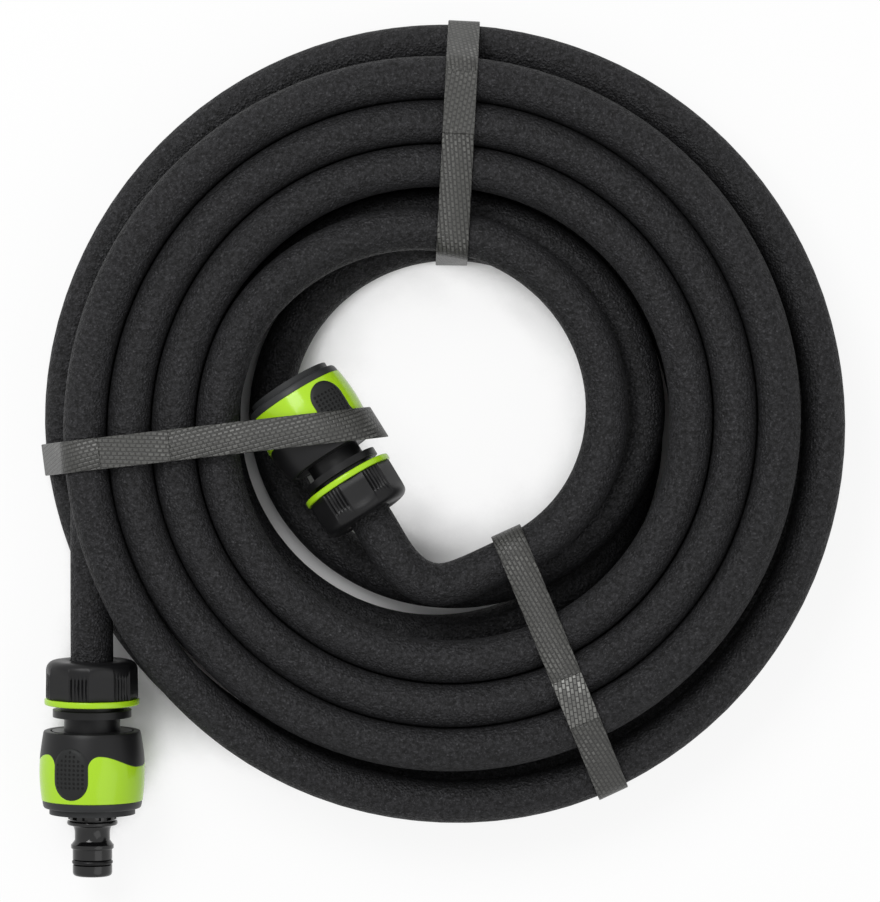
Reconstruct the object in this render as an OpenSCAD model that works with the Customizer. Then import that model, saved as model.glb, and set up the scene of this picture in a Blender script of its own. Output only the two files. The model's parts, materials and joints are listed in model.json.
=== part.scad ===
/* [Hose] */
// Outer diameter of the porous hose
hose_d = 15.5; // [15:0.1:15.6]
// Bore of the porous hose
hose_bore = 12; // [11.6:0.1:12.4]

/* [Coil] */
// Gap between neighbouring turns of one level
turn_gap = 0.5; // [0.45:0.05:1]
// Gap between the levels of the pile
level_gap = 0.4; // [0.4:0.05:0.8]
// Centreline radius of the innermost bottom turn
inner_turn_r = 63; // [62.6:0.1:63.4]
// Turns in the bottom level up to its last half turn
bottom_turns = 3.5; // [3.5:1:3.5]
// Gap between neighbouring turns of the loosely wound bottom level
bottom_gap = 3.2; // [3.1:0.1:3.6]
// Centreline radius where the middle level starts
middle_out_r = 127.4; // [127:0.1:128]
// Centreline radius of the middle level a quarter turn on
middle_turn_r = 117.4; // [117:0.1:118]
// Centreline radius at the inner end of the middle level
middle_in_r = 73; // [72.6:0.1:73]
// Centreline radius where the top level starts
top_out_r = 131; // [130.6:0.1:131.4]
// Turns in the top level
top_turns = 3.15; // [3.1:0.05:3.2]
// Centreline radius where the hose leaves the coil for the inner connector
run_r = 54; // [53.5:0.1:54.5]
// How much wider the hose runs as it climbs round the outside
climb_out = 0.8; // [0.6:0.1:1]
// Pull inwards of the last low half turn, which passes beside the outer nut
nut_pull = 2.6; // [2.4:0.1:2.8]
// Height of the hose where it reaches the bore's lower side
sunk_z = 38; // [37.5:0.5:39]

/* [Straps] */
// Width of a binding strap
strap_w = 11.5; // [8:0.5:14]
// Thickness of a binding strap
strap_t = 0.8; // [0.6:0.1:1.2]
// Clearance between a strap and what it binds
strap_clear = 0.35; // [0.3:0.05:0.5]
// Further room for the inner sleeve, which slides under its strap
sleeve_play = 0.5; // [0.4:0.1:0.6]
// Direction of the top strap round the coil, in degrees
top_strap_az = 87; // [80:1:95]
// Direction of the left strap
left_strap_az = 186.5; // [185:0.5:188]
// How far the left strap's middle lies beside the coil's centre
left_strap_side = -3.7; // [-4:0.1:-3.4]
// Direction of the lower right strap
lower_strap_az = 292.4; // [291:0.2:294]
// How far the lower right strap's middle lies beside the coil's centre
lower_strap_side = 6.3; // [6:0.1:6.6]

/* [Nut and collet] */
// Radius of the clamping nut
nut_r = 16.6; // [16:0.1:17]
// Length of the clamping nut
nut_len = 13.9; // [13:0.1:15]
// Thickness of the nut's rear wall
nut_wall = 2.5; // [2:0.1:3]
// Radius of the rounded rear edge
nut_round = 3; // [1:0.5:4]
// Groups of grip ribs round the nut
rib_groups = 8; // [4:1:10]
// Grip ribs in a group
ribs_in_group = 3; // [1:1:3]
// Height of a grip rib
rib_h = 0.5; // [0.3:0.1:0.8]
// Radius of the coloured ring in front of the nut
ring_r = 17.3; // [17:0.1:18]
// Length of the coloured ring
ring_len = 2.2; // [1.5:0.1:2.6]
// Pitch of the nut's thread
thread_pitch = 3; // [2:0.5:3]
// Length of the collet
collet_len = 9.2; // [8:0.1:9.5]
// Slots in the collet
collet_slots = 6; // [4:1:8]

/* [Connector body] */
// Outer radius of the threaded tube
thread_r = 11.6; // [11.4:0.1:12]
// Wall of the threaded tube
thread_wall = 1; // [0.8:0.1:1.1]
// Length of the threaded tube behind the flange
thread_len = 10.9; // [10:0.1:11.5]
// Radius of the flange in front of the thread
flange_r = 14.3; // [14:0.1:15]
// Thickness of the flange
flange_t = 2.6; // [2:0.1:3]
// Radius of the neck behind the sleeve
neck_r = 10.2; // [9.5:0.1:11]
// Length of the neck
neck_len = 5; // [4.8:0.1:5.4]
// Radius of the barrel inside the sleeve
barrel_r = 12.4; // [12.2:0.1:12.6]
// Length of the barrel
barrel_len = 18.5; // [18:0.1:19]
// Radius of the socket that takes a plug
socket_r = 8.1; // [8:0.05:8.2]
// Depth of the socket behind the barrel's front
socket_depth = 9; // [8:0.1:9.5]
// Radius of the waterway
waterway_r = 3.6; // [3:0.1:4]
// Length of the hose spigot
spigot_len = 15; // [13:0.5:16]
// Ridges on the hose spigot
spigot_ridges = 4; // [3:1:5]
// Radius of the ring at the body's front
end_ring_r = 15.6; // [15.2:0.1:16]
// Thickness of the ring at the body's front
end_ring_t = 2.2; // [1.8:0.1:2.6]

/* [Sleeve] */
// Length of the sliding sleeve
sleeve_len = 28.2; // [27.8:0.1:28.4]
// Radius of the sleeve's rear edge
sleeve_rear_r = 17.6; // [17.3:0.1:18]
// Largest radius of the sleeve
sleeve_mid_r = 19.2; // [19:0.1:19.4]
// Radius of the sleeve's front edge
sleeve_front_r = 18; // [17.6:0.1:18.4]
// Radius of the sleeve's bore
sleeve_bore_r = 14.9; // [14.8:0.1:15.1]
// Travel of the sleeve when it is drawn back
sleeve_travel = 4; // [3:0.5:4]
// Length of the coloured band
band_len = 16.4; // [15:0.1:17]
// Length of the grey rim in front of the band
rim_len = 2.8; // [2:0.1:3.2]
// Thickness of the coloured band
band_t = 1.2; // [0.8:0.1:1.4]
// Width of a grip pad
pad_w = 13.5; // [12:0.5:14]
// Length of a grip pad
pad_len = 19; // [17:0.5:20]
// Height of a pad over the band
pad_proud = 0.2; // [0.1:0.1:0.3]
// Depth behind the band at which a pad's outline is cut
pad_cut_depth = 30; // [25:1:40]

/* [Spring and claws] */
// Diameter of the spring's wire
wire_d = 1.4; // [1:0.1:1.6]
// Curls of the spring
spring_curls = 4; // [3:1:5]
// Claws in the locking ring
claws = 4; // [3:1:6]
// Width of a claw
claw_w = 4; // [3:0.5:5]
// Inner radius of the claws' hooks
hook_r = 6.9; // [6.8:0.05:7]

/* [Plug] */
// Radius of the plug's middle flange
plug_flange_r = 9.2; // [9:0.1:9.6]
// Length of the plug's middle flange
plug_flange_len = 4; // [3:0.5:5]
// Smallest radius of the plug's neck
plug_neck_r = 6.4; // [6.2:0.1:6.5]
// Length of the plug's neck
plug_neck_len = 7.2; // [7:0.1:7.4]
// Radius of the plug's shoulder ring
shoulder_r = 7.8; // [7.7:0.05:7.9]
// Length of the shoulder ring
shoulder_len = 1.6; // [1.4:0.1:1.8]
// Length of the slope between the neck and the shoulder ring
shoulder_slope = 1.6; // [1.2:0.1:1.8]
// Radius of the plug's nose
nose_r = 7.2; // [7:0.1:7.3]
// Length of the plug's nose
nose_len = 9.9; // [9.5:0.1:10.1]
// Radius of the plug's waterway
plug_bore_r = 4; // [3.5:0.1:4.4]
// Radius of the section of a sealing ring
seal_section_r = 0.9; // [0.8:0.05:1]
// How far a sealing ring stands out of its groove
seal_proud = 0.25; // [0.2:0.05:0.3]

/* [Places] */
// How far the outer connector's axis lies from the coil's centre
outer_x = -127.4; // [-128:0.1:-127]
// Nut face of the outer connector, from the coil's centre
outer_y = -85.4; // [-86:0.1:-85]
// Downward tilt of the outer connector, in degrees
outer_tilt = 4.6; // [4.4:0.1:4.8]
// How far the inner connector's nut face lies inside the innermost top turn, along X
inner_inset = 54.1; // [53.6:0.1:54.6]
// Nut face of the inner connector, Y from the coil's centre
inner_y = -33; // [-33.5:0.1:-32.5]
// Height of the inner connector's nut face
inner_z = 39.1; // [38.6:0.1:39.6]
// Direction of the inner connector, in degrees
inner_turn = 122; // [121:0.5:123]
// Downward tilt of the inner connector, in degrees
inner_tilt = 6; // [5:0.5:7]

/* [Hidden] */
$fn = 64;
black = "#1b1c1d";
lime = "#a5d92b";
rubber = "#262626";
grey = "#6c6c6a";

// Clearance of pieces that run on each other
run_clear = 0.3;
// Clearance of pieces that are fixed to each other
seat_clear = 0.1;
hose_r = hose_d / 2;
turn_pitch = hose_d + turn_gap;
level_rise = hose_d + level_gap;
bottom_z = strap_t + strap_clear + hose_r;
middle_z = bottom_z + level_rise;
top_z = middle_z + level_rise;
bottom_pitch = hose_d + bottom_gap;
bottom_last_r = inner_turn_r + bottom_turns * bottom_pitch;
bottom_out_r = bottom_last_r + bottom_pitch / 2;
climb_r = bottom_out_r + climb_out;
top_in_r = top_out_r - top_turns * turn_pitch;

// Lengths along a connector, from the nut's rear face forwards
nut_travel = thread_pitch;
hose_back = 2 * nut_travel;
flange_z = nut_len + ring_len + 1.8;
thread_z = flange_z - thread_len;
neck_z = flange_z + flange_t;
sleeve_z = neck_z + neck_len;
barrel_z = sleeve_z;
barrel_front_z = barrel_z + barrel_len;
sleeve_front_z = sleeve_z + sleeve_len;
connector_front_z = sleeve_front_z + end_ring_t;
hose_stop_z = flange_z - 3.5;
spring_seat_t = 1.5;
rib_front_z = barrel_front_z - 2;
rib_t = 2.4;
skirt_z = rib_front_z + 0.5;
band_z = sleeve_front_z - rim_len - band_len;
plug_flange_z = connector_front_z + seat_clear;
plug_tip = plug_flange_len + plug_neck_len + shoulder_len + nose_len;
sleeve_centre = (sleeve_z + sleeve_front_z) / 2;
outer_z = sleeve_mid_r + sleeve_centre * sin(outer_tilt);
outer_pad_turn = 113;
inner_pad_turn = 212;

// The model's frame is centred on its whole outline, so the coil's centre lies off it
plug_reach = -outer_y + (plug_flange_z + plug_tip) * cos(outer_tilt);
coil_reach = bottom_out_r + climb_out / 2 + hose_r + strap_clear + strap_t;
coil_y = (plug_reach - coil_reach) / 2;

function smooth(s) = s * s * (3 - 2 * s);
function mix(p, q, s) = p + (q - p) * s;

// Each leg: turns, radius at its start and end, height at its start and end, bulge outwards
LEGS = [
    [0.25, middle_out_r, middle_turn_r, middle_z, middle_z, 0],
    [2.25, middle_turn_r, middle_in_r, middle_z, middle_z, 0],
    [0.5, middle_in_r, inner_turn_r, middle_z, bottom_z, -9],
    [bottom_turns, inner_turn_r, bottom_last_r, bottom_z, bottom_z, 0],
    [0.5, bottom_last_r, bottom_out_r, bottom_z, bottom_z, -nut_pull],
    [0.5, bottom_out_r, climb_r, bottom_z, middle_z, 0],
    [0.2, climb_r, climb_r, middle_z, middle_z, 0],
    [0.23, climb_r, top_out_r, middle_z, top_z, 0],
    [top_turns, top_out_r, top_in_r, top_z, top_z, 0],
    [0.5867, top_in_r, run_r, top_z, sunk_z, -3]
];
function turns_before(i) = i == 0 ? 0 : turns_before(i - 1) + LEGS[i - 1][0];
COIL_TURNS = turns_before(len(LEGS));
START_ANGLE = 180;
RINGS_A_TURN = 24;

function leg_at(turns, i = 0) =
    i == len(LEGS) - 1 || turns < turns_before(i + 1) ? i : leg_at(turns, i + 1);
// Radius and height of the centreline after so many turns
function coil_at(turns) =
    let (i = leg_at(turns), leg = LEGS[i], s = (turns - turns_before(i)) / leg[0])
    [mix(leg[1], leg[2], s) + leg[5] * sin(180 * s), mix(leg[3], leg[4], smooth(s))];
function coil_point(turns) =
    let (place = coil_at(turns), angle = START_ANGLE - 360 * turns)
    [place[0] * cos(angle), place[0] * sin(angle), place[1]];

// Points chosen by hand where the hose is not coiled
INNER_ROUTE = [[17, -51.5, 36.5], [7, -56, 37], [-1.3, -58.3, 38], [-9.8, -56, 40]];
OUTER_ROUTE = [[-127.4, -15.5, 24.8], [-127.4, -31, 24.8], [-127.4, -50, 24.8], [-127.4, -60, 24.3]];

function rotate_y(p, a) = [p[0] * cos(a) + p[2] * sin(a), p[1], p[2] * cos(a) - p[0] * sin(a)];
function rotate_z(p, a) = [p[0] * cos(a) - p[1] * sin(a), p[0] * sin(a) + p[1] * cos(a), p[2]];
inner_start = [inner_inset - top_in_r, inner_y, inner_z];
inner_axis = rotate_z(rotate_y([0, 0, 1], 90 + inner_tilt), inner_turn);
outer_start = [outer_x, outer_y, outer_z];
outer_axis = [0, -cos(outer_tilt), -sin(outer_tilt)];
function on_inner(z) = inner_start + inner_axis * z;
function on_outer(z) = outer_start + outer_axis * z;

COIL_POINTS = concat(
    [[outer_x, -hose_d, middle_z]],
    [for (i = [0 : floor(COIL_TURNS * RINGS_A_TURN)]) coil_point(i / RINGS_A_TURN)],
    INNER_ROUTE,
    [on_inner(-hose_back - hose_d), on_inner(-hose_back)]
);
TAIL_POINTS = concat(
    OUTER_ROUTE,
    [on_outer(-hose_back - hose_d * 0.8), on_outer(-hose_back)]
);

function unit(v) = v / norm(v);
function route_length(route) =
    [for (i = 1, sum = norm(route[1] - route[0]); i < len(route);
        i = i + 1, sum = sum + (i < len(route) ? norm(route[i] - route[i - 1]) : 0)) sum
    ][len(route) - 2];
function heading(route, i) =
    i == 0 ? unit(route[1] - route[0])
    : i == len(route) - 1 ? unit(route[i] - route[i - 1])
    : unit(unit(route[i + 1] - route[i]) + unit(route[i] - route[i - 1]));
function ring_of(route, i, r, sides) =
    let (along = heading(route, i), side = unit(cross(along, [0, 0, 1])), up = cross(side, along))
    [for (k = [0 : sides - 1]) let (a = (k + 0.5) * 360 / sides)
        route[i] + r * (side * sin(a + 180 / sides) + up * cos(a + 180 / sides))];

// A closed tube of triangles along a route
module tube(route, r, sides) {
    rings = len(route);
    corners = [for (i = [0 : rings - 1]) each ring_of(route, i, r, sides)];
    walls = [for (i = [0 : rings - 2]) for (k = [0 : sides - 1])
        let (a = i * sides + k, b = i * sides + (k + 1) % sides)
        each [[a, b, a + sides], [b, b + sides, a + sides]]];
    first_end = [for (k = [1 : sides - 2]) [0, k + 1, k]];
    last = (rings - 1) * sides;
    last_end = [for (k = [1 : sides - 2]) [last, last + k, last + k + 1]];
    polyhedron(corners, concat(walls, first_end, last_end), convexity = 10);
}

// Least distance between two parts of the coil that are more than half a turn apart, less the diameter
function least_gap(route, skip) =
    min([for (i = [0 : len(route) - 1]) for (k = [i + skip : 1 : len(route) - 1])
        norm(route[i] - route[k])]) - hose_d;

module in_frame() {
    translate([0, coil_y, 0]) children();
}

module at_outer() {
    in_frame() translate(outer_start) rotate([90 + outer_tilt, 0, 0]) children();
}

module at_inner() {
    in_frame() translate(inner_start) rotate([0, 90 + inner_tilt, inner_turn]) children();
}

module ring(z, len, r_out, r_in) {
    translate([0, 0, z]) difference() {
        cylinder(h = len, r = r_out);
        translate([0, 0, -1]) cylinder(h = len + 2, r = r_in);
    }
}

module hose_coil() {
    echo(least_gap_mm = least_gap(COIL_POINTS, RINGS_A_TURN / 2));
    echo(hose_length_mm = route_length(COIL_POINTS) + route_length(TAIL_POINTS)
        + 2 * (hose_back + hose_stop_z));
    color(rubber) in_frame() tube(COIL_POINTS, hose_r, 6);
}

module outer_hose_tail() {
    color(rubber) in_frame() tube(TAIL_POINTS, hose_r, 12);
}

// The hose's end, pushed over the spigot as far as the stop
module hose_end() {
    color(rubber) ring(-hose_back, hose_back + hose_stop_z - seat_clear, hose_r, hose_bore / 2);
}

// Spigot, threaded tube, flange, neck and the barrel with its socket
module connector_body() {
    spigot_r = hose_bore / 2 - seat_clear;
    ridge_len = spigot_len / (spigot_ridges + 1);
    color(black) difference() {
        union() {
            translate([0, 0, hose_stop_z - spigot_len]) cylinder(h = spigot_len + 1, r = spigot_r - 0.7);
            for (i = [0 : spigot_ridges - 1])
                translate([0, 0, hose_stop_z - spigot_len + 0.6 + i * ridge_len])
                    cylinder(h = ridge_len * 0.6, r1 = spigot_r - 0.7, r2 = spigot_r);
            ring(thread_z, thread_len, thread_r, thread_r - thread_wall);
            translate([0, 0, hose_stop_z]) cylinder(h = flange_z - hose_stop_z + 0.5, r = thread_r - 0.2);
            translate([0, 0, flange_z]) cylinder(h = flange_t, r = flange_r);
            translate([0, 0, neck_z]) cylinder(h = neck_len, r = neck_r);
            translate([0, 0, barrel_z]) cylinder(h = barrel_len, r = barrel_r);
            translate([0, 0, barrel_z]) cylinder(h = spring_seat_t, r = sleeve_bore_r - run_clear);
        }
        translate([0, 0, hose_stop_z - spigot_len - 1]) cylinder(h = barrel_front_z, r = waterway_r);
        translate([0, 0, barrel_front_z - socket_depth]) cylinder(h = socket_depth + 1, r = socket_r);
    }
}

// Slotted ring that the nut squeezes on to the hose
module collet() {
    collet_out_r = thread_r - thread_wall - run_clear;
    color(black) translate([0, 0, nut_wall + run_clear]) difference() {
        ring(0, collet_len, collet_out_r, hose_r + run_clear);
        for (i = [0 : collet_slots - 1])
            rotate([0, 0, i * 360 / collet_slots])
                translate([0, -0.6, 2]) cube([collet_out_r + 1, 1.2, collet_len]);
    }
}

// Clamping nut with a rounded rear edge and groups of grip ribs
module clamp_nut() {
    group_turn = 360 / rib_groups;
    rib_turn = 5;
    color(black) difference() {
        union() {
            rotate_extrude() polygon(concat(
                [[0, nut_len], [0, 0]],
                [for (a = [0 : 10 : 90])
                    [nut_r - nut_round * (1 - sin(a)), nut_round * (1 - cos(a))]],
                [[nut_r, nut_len]]
            ));
            for (g = [0 : rib_groups - 1]) for (k = [0 : ribs_in_group - 1])
                rotate([0, 0, g * group_turn + k * rib_turn])
                    translate([nut_r - 1, -0.35, nut_round + 1])
                        cube([1 + rib_h, 0.7, nut_len - nut_round - 2]);
        }
        translate([0, 0, -1]) cylinder(h = nut_wall + 2, r = hose_r + run_clear);
        translate([0, 0, nut_wall]) cylinder(h = nut_len, r = thread_r + run_clear);
    }
}

module nut_ring() {
    color(lime) ring(nut_len, ring_len, ring_r, thread_r + run_clear);
}

// Radius of the sleeve's outside, a barrel from its rear edge to its front edge
function sleeve_r(z) =
    let (s = (z - sleeve_z) / sleeve_len, ends = mix(sleeve_rear_r, sleeve_front_r, s))
    ends + (sleeve_mid_r - (sleeve_rear_r + sleeve_front_r) / 2) * sin(180 * s);

module sleeve_shape(z0, z1, inset) {
    steps = 12;
    rotate_extrude() polygon(concat(
        [[0, z1], [0, z0]],
        [for (i = [0 : steps]) let (z = mix(z0, z1, i / steps)) [sleeve_r(z) - inset, z]]
    ));
}

// Outline of a grip pad, wide as given, looked at from its side
module pad_cutter(extra, turn) {
    half = pad_w / 2 + extra;
    straight = pad_len / 2 - pad_w / 2;
    for (side = [0, 180]) rotate([0, 0, turn + side])
        translate([0, 0, sleeve_front_z - rim_len - 1.5 - pad_len / 2]) rotate([0, 90, 0]) {
            for (end = [-1, 1]) translate([end * straight, 0, 0]) cylinder(h = pad_cut_depth, r = half);
            translate([-straight, -half, 0]) cube([2 * straight, 2 * half, pad_cut_depth]);
        }
}

// Black inner shell with the rib that the spring pushes on
module sleeve() {
    shell_inset = band_t + seat_clear;
    color(black) difference() {
        union() {
            sleeve_shape(sleeve_z, band_z, 0);
            sleeve_shape(band_z - 0.5, sleeve_front_z - rim_len + 0.5, shell_inset);
            sleeve_shape(sleeve_front_z - rim_len, sleeve_front_z, 0);
        }
        translate([0, 0, sleeve_z - 1])
            cylinder(h = rib_front_z - rib_t - sleeve_z + 1, r = sleeve_bore_r);
        translate([0, 0, sleeve_z]) cylinder(h = sleeve_len, r = barrel_r + run_clear);
        translate([0, 0, rib_front_z]) cylinder(h = sleeve_len, r = sleeve_bore_r);
    }
}

module sleeve_band(turn) {
    color(lime) difference() {
        sleeve_shape(band_z + seat_clear, sleeve_front_z - rim_len - seat_clear, 0);
        sleeve_hollow();
        pad_cutter(seat_clear, turn);
    }
}

// The space that the coloured band wraps
module sleeve_hollow() {
    sleeve_shape(band_z - 0.5, sleeve_front_z - rim_len + 0.5, band_t);
}

module grip_pads(turn) {
    color(black) difference() {
        intersection() {
            sleeve_shape(band_z + seat_clear, sleeve_front_z - rim_len - seat_clear, -pad_proud);
            pad_cutter(0, turn);
        }
        sleeve_hollow();
    }
}

// Spring between the seat on the barrel and the rib in the sleeve
module sleeve_spring() {
    from_z = barrel_z + spring_seat_t + wire_d / 2 + seat_clear;
    to_z = rib_front_z - rib_t - wire_d / 2 - seat_clear;
    mean_r = (barrel_r + sleeve_bore_r) / 2;
    rings_a_curl = 12;
    steps = spring_curls * rings_a_curl;
    route = [for (i = [0 : steps])
        let (a = i * 360 / rings_a_curl) [mean_r * cos(a), mean_r * sin(a), mix(from_z, to_z, i / steps)]];
    color("silver") tube(route, wire_d / 2, 6);
}

// Ring of flexible claws that hook behind a plug's shoulder
module claw_ring() {
    base_z = barrel_front_z + 0.3;
    base_t = 2;
    hook_z = plug_flange_z - plug_neck_len + shoulder_slope + run_clear;
    hook_t = 2;
    claw_in_r = socket_r + 0.6;
    claw_out_r = claw_in_r + 1.8;
    color("#d8d8d2") union() {
        ring(base_z, base_t, barrel_r - 0.2, claw_in_r);
        for (i = [0 : claws - 1]) rotate([0, 0, 45 + i * 360 / claws]) {
            translate([claw_in_r + 0.1, -claw_w / 2, base_z + 0.5])
                cube([claw_out_r - claw_in_r, claw_w, hook_z + hook_t - base_z - 0.5]);
            translate([hook_r, -claw_w / 2, hook_z]) cube([claw_out_r - hook_r, claw_w, hook_t]);
        }
    }
}

// Front ring of the body, with the skirt that holds it on the barrel
module end_ring() {
    skirt_out_r = sleeve_bore_r - run_clear;
    color(black) union() {
        ring(sleeve_front_z, end_ring_t, end_ring_r, socket_r);
        ring(skirt_z, sleeve_front_z - skirt_z + 0.2, skirt_out_r, barrel_r + seat_clear);
    }
}

// One half of the plug, from its flange's face to its nose
module plug_half() {
    shoulder_z = plug_neck_len;
    nose_z = shoulder_z + shoulder_len;
    tip_z = nose_z + nose_len;
    groove_z = nose_z + nose_len * 0.48;
    groove_r = nose_r + seal_proud - 2 * seal_section_r - seat_clear;
    rotate_extrude() polygon([
        [0, -0.5], [plug_flange_r - 1, -0.5], [plug_flange_r - 1.4, 0], [plug_neck_r + 0.5, 1.6],
        [plug_neck_r, 3], [plug_neck_r, shoulder_z - shoulder_slope], [shoulder_r, shoulder_z],
        [shoulder_r, nose_z], [nose_r, nose_z + 0.3],
        [nose_r, groove_z - seal_section_r - seat_clear],
        [groove_r, groove_z - seal_section_r - seat_clear],
        [groove_r, groove_z + seal_section_r + seat_clear],
        [nose_r, groove_z + seal_section_r + seat_clear],
        [nose_r, tip_z - 1], [nose_r - 1, tip_z], [0, tip_z]
    ]);
}

module outer_plug() {
    color(black) at_outer() difference() {
        union() {
            translate([0, 0, plug_flange_z + plug_flange_len]) plug_half();
            translate([0, 0, plug_flange_z]) mirror([0, 0, 1]) plug_half();
            translate([0, 0, plug_flange_z]) cylinder(h = plug_flange_len, r = plug_flange_r);
        }
        translate([0, 0, plug_flange_z - plug_tip])
            cylinder(h = 3 * plug_tip, r = plug_bore_r);
    }
}

// One sealing ring in the groove of each nose
module plug_seals() {
    groove = plug_neck_len + shoulder_len + nose_len * 0.48;
    seal_r = nose_r + seal_proud - seal_section_r;
    color("#101010") at_outer()
        for (z = [plug_flange_z - groove, plug_flange_z + plug_flange_len + groove])
            translate([0, 0, z]) rotate_extrude() translate([seal_r, 0]) circle(r = seal_section_r);
}

// Straps: each is a closed band round all the hose turns in its width
function to_strap(p, az) = [p[0] * cos(az) + p[1] * sin(az), p[2], p[1] * cos(az) - p[0] * sin(az)];
// The hose turns that cross a plane at one distance beside a direction, widened inwards to hold
// the straight facets between the tube's rings
function turns_in(az, w) = [
    for (turn = [(START_ANGLE - az + 720) % 360 / 360 : 1 : COIL_TURNS + 0.03])
        let (r = coil_at(turn)[0], across = asin(w / r), place = coil_at(turn - across / 360),
            sag = r * (1 - cos(180 / RINGS_A_TURN)))
        [place[0] * cos(across) - sag / 2, place[1], hose_r + sag / 2, hose_r]
];
// Where a plane at that distance cuts the inner connector's sleeve, pads included
function sleeve_in(az, w) =
    let (centre = to_strap(on_inner(sleeve_centre), az), along = to_strap(inner_axis, az),
        t = (w - centre[2]) / along[2], lean = abs(along[2]) / norm([along[0], along[2]]),
        r = sleeve_mid_r + pad_proud + sleeve_play)
    [centre[0] + t * along[0], centre[1] + t * along[1], r / lean, r];
// Outermost point of the rounds in one direction, each set off by a distance
function reach(rounds, off, a) =
    let (n = [cos(a), sin(a)],
        far = [for (c = rounds)
            let (p = (c[2] + off) * n[0], q = (c[3] + off) * n[1]) c[0] * n[0] + c[1] * n[1] + norm([p, q])],
        c = rounds[search(max(far), far)[0]],
        p = (c[2] + off) * n[0], q = (c[3] + off) * n[1], size = norm([p, q]))
    [c[0] + (c[2] + off) * p / size, c[1] + (c[3] + off) * q / size];
function on_strap(q, az, w) = [q[0] * cos(az) - w * sin(az), q[0] * sin(az) + w * cos(az), q[1]];

module strap(az, w_mid, sleeve_too) {
    steps = 120;
    sides = [w_mid - strap_w / 2, w_mid + strap_w / 2];
    loops = [for (off = [strap_clear, strap_clear + strap_t]) for (w = sides)
        let (rounds = concat(turns_in(az, w), sleeve_too ? [sleeve_in(az, w)] : []))
        [for (i = [0 : steps - 1]) on_strap(reach(rounds, off, i * 360 / steps), az, w)]];
    corners = [for (loop = loops) each loop];
    // Inner loops are 0 and 1, outer loops 2 and 3
    pairs = [[0, 1], [1, 3], [3, 2], [2, 0]];
    faces = [for (pair = pairs) for (i = [0 : steps - 1])
        let (a = pair[0] * steps + i, b = pair[0] * steps + (i + 1) % steps,
            c = pair[1] * steps + i, d = pair[1] * steps + (i + 1) % steps)
        each [[a, c, b], [b, c, d]]];
    color(grey) in_frame() polyhedron(corners, faces, convexity = 6);
}

module top_strap() {
    strap(top_strap_az, 0, false);
}

module left_strap() {
    strap(left_strap_az, left_strap_side, true);
}

module lower_strap() {
    strap(lower_strap_az, lower_strap_side, false);
}

module outer_hose_end() at_outer() hose_end();
module outer_body() at_outer() connector_body();
module outer_collet() at_outer() collet();
module outer_nut() at_outer() clamp_nut();
module outer_nut_ring() at_outer() nut_ring();
module outer_sleeve() at_outer() sleeve();
module outer_sleeve_band() at_outer() sleeve_band(outer_pad_turn);
module outer_grip_pads() at_outer() grip_pads(outer_pad_turn);
module outer_spring() at_outer() sleeve_spring();
module outer_claw_ring() at_outer() claw_ring();
module outer_end_ring() at_outer() end_ring();
module inner_hose_end() at_inner() hose_end();
module inner_body() at_inner() connector_body();
module inner_collet() at_inner() collet();
module inner_nut() at_inner() clamp_nut();
module inner_nut_ring() at_inner() nut_ring();
module inner_sleeve() at_inner() sleeve();
module inner_sleeve_band() at_inner() sleeve_band(inner_pad_turn);
module inner_grip_pads() at_inner() grip_pads(inner_pad_turn);
module inner_spring() at_inner() sleeve_spring();
module inner_claw_ring() at_inner() claw_ring();
module inner_end_ring() at_inner() end_ring();

hose_coil();
outer_hose_tail();
outer_hose_end();
inner_hose_end();
outer_body();
outer_collet();
outer_nut();
outer_nut_ring();
outer_sleeve();
outer_sleeve_band();
outer_grip_pads();
outer_spring();
outer_claw_ring();
outer_end_ring();
outer_plug();
plug_seals();
inner_body();
inner_collet();
inner_nut();
inner_nut_ring();
inner_sleeve();
inner_sleeve_band();
inner_grip_pads();
inner_spring();
inner_claw_ring();
inner_end_ring();
top_strap();
left_strap();
lower_strap();
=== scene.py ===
"""A coiled soaker hose, bound with woven tape, with a push-fit connector on each end.

The hose is one long cord, wound in three levels. The tapes are closed bands that hug the pile. Each
connector is a clamping nut, a body, a sliding sleeve with a coloured band and two grip pads. The outer
one holds a plug.
"""

import json
import logging
import math
from dataclasses import dataclass, field
from enum import Enum
from itertools import accumulate

import bpy
from mathutils import Matrix, Vector


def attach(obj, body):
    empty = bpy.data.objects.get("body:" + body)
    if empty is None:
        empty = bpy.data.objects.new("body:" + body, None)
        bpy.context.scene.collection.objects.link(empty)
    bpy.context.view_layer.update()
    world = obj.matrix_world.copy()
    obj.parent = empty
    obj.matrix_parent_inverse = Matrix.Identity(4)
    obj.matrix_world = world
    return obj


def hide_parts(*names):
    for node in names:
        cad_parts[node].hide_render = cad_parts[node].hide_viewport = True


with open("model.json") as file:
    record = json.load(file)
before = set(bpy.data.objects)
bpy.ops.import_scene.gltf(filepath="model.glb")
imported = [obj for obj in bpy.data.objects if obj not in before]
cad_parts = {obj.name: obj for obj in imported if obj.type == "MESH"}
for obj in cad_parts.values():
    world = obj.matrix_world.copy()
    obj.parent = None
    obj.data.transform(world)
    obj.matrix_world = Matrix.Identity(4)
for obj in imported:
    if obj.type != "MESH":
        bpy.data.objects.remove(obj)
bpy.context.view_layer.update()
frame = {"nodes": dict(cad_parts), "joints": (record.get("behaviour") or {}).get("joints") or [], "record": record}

log = logging.getLogger("soaker_hose")
MM = 0.001
Point = tuple[float, float, float]
# A round that a tape hugs, cut by a plane: its centre outwards and up, then its half widths
Round = tuple[float, float, float, float]
Profile = list[tuple[float, float]]


class Connector(Enum):
    """The two hose ends, by the word that starts their nodes' names."""

    OUTER = "outer"
    INNER = "inner"


# ---------------------------------------------------------------- colours and nodes


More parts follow.
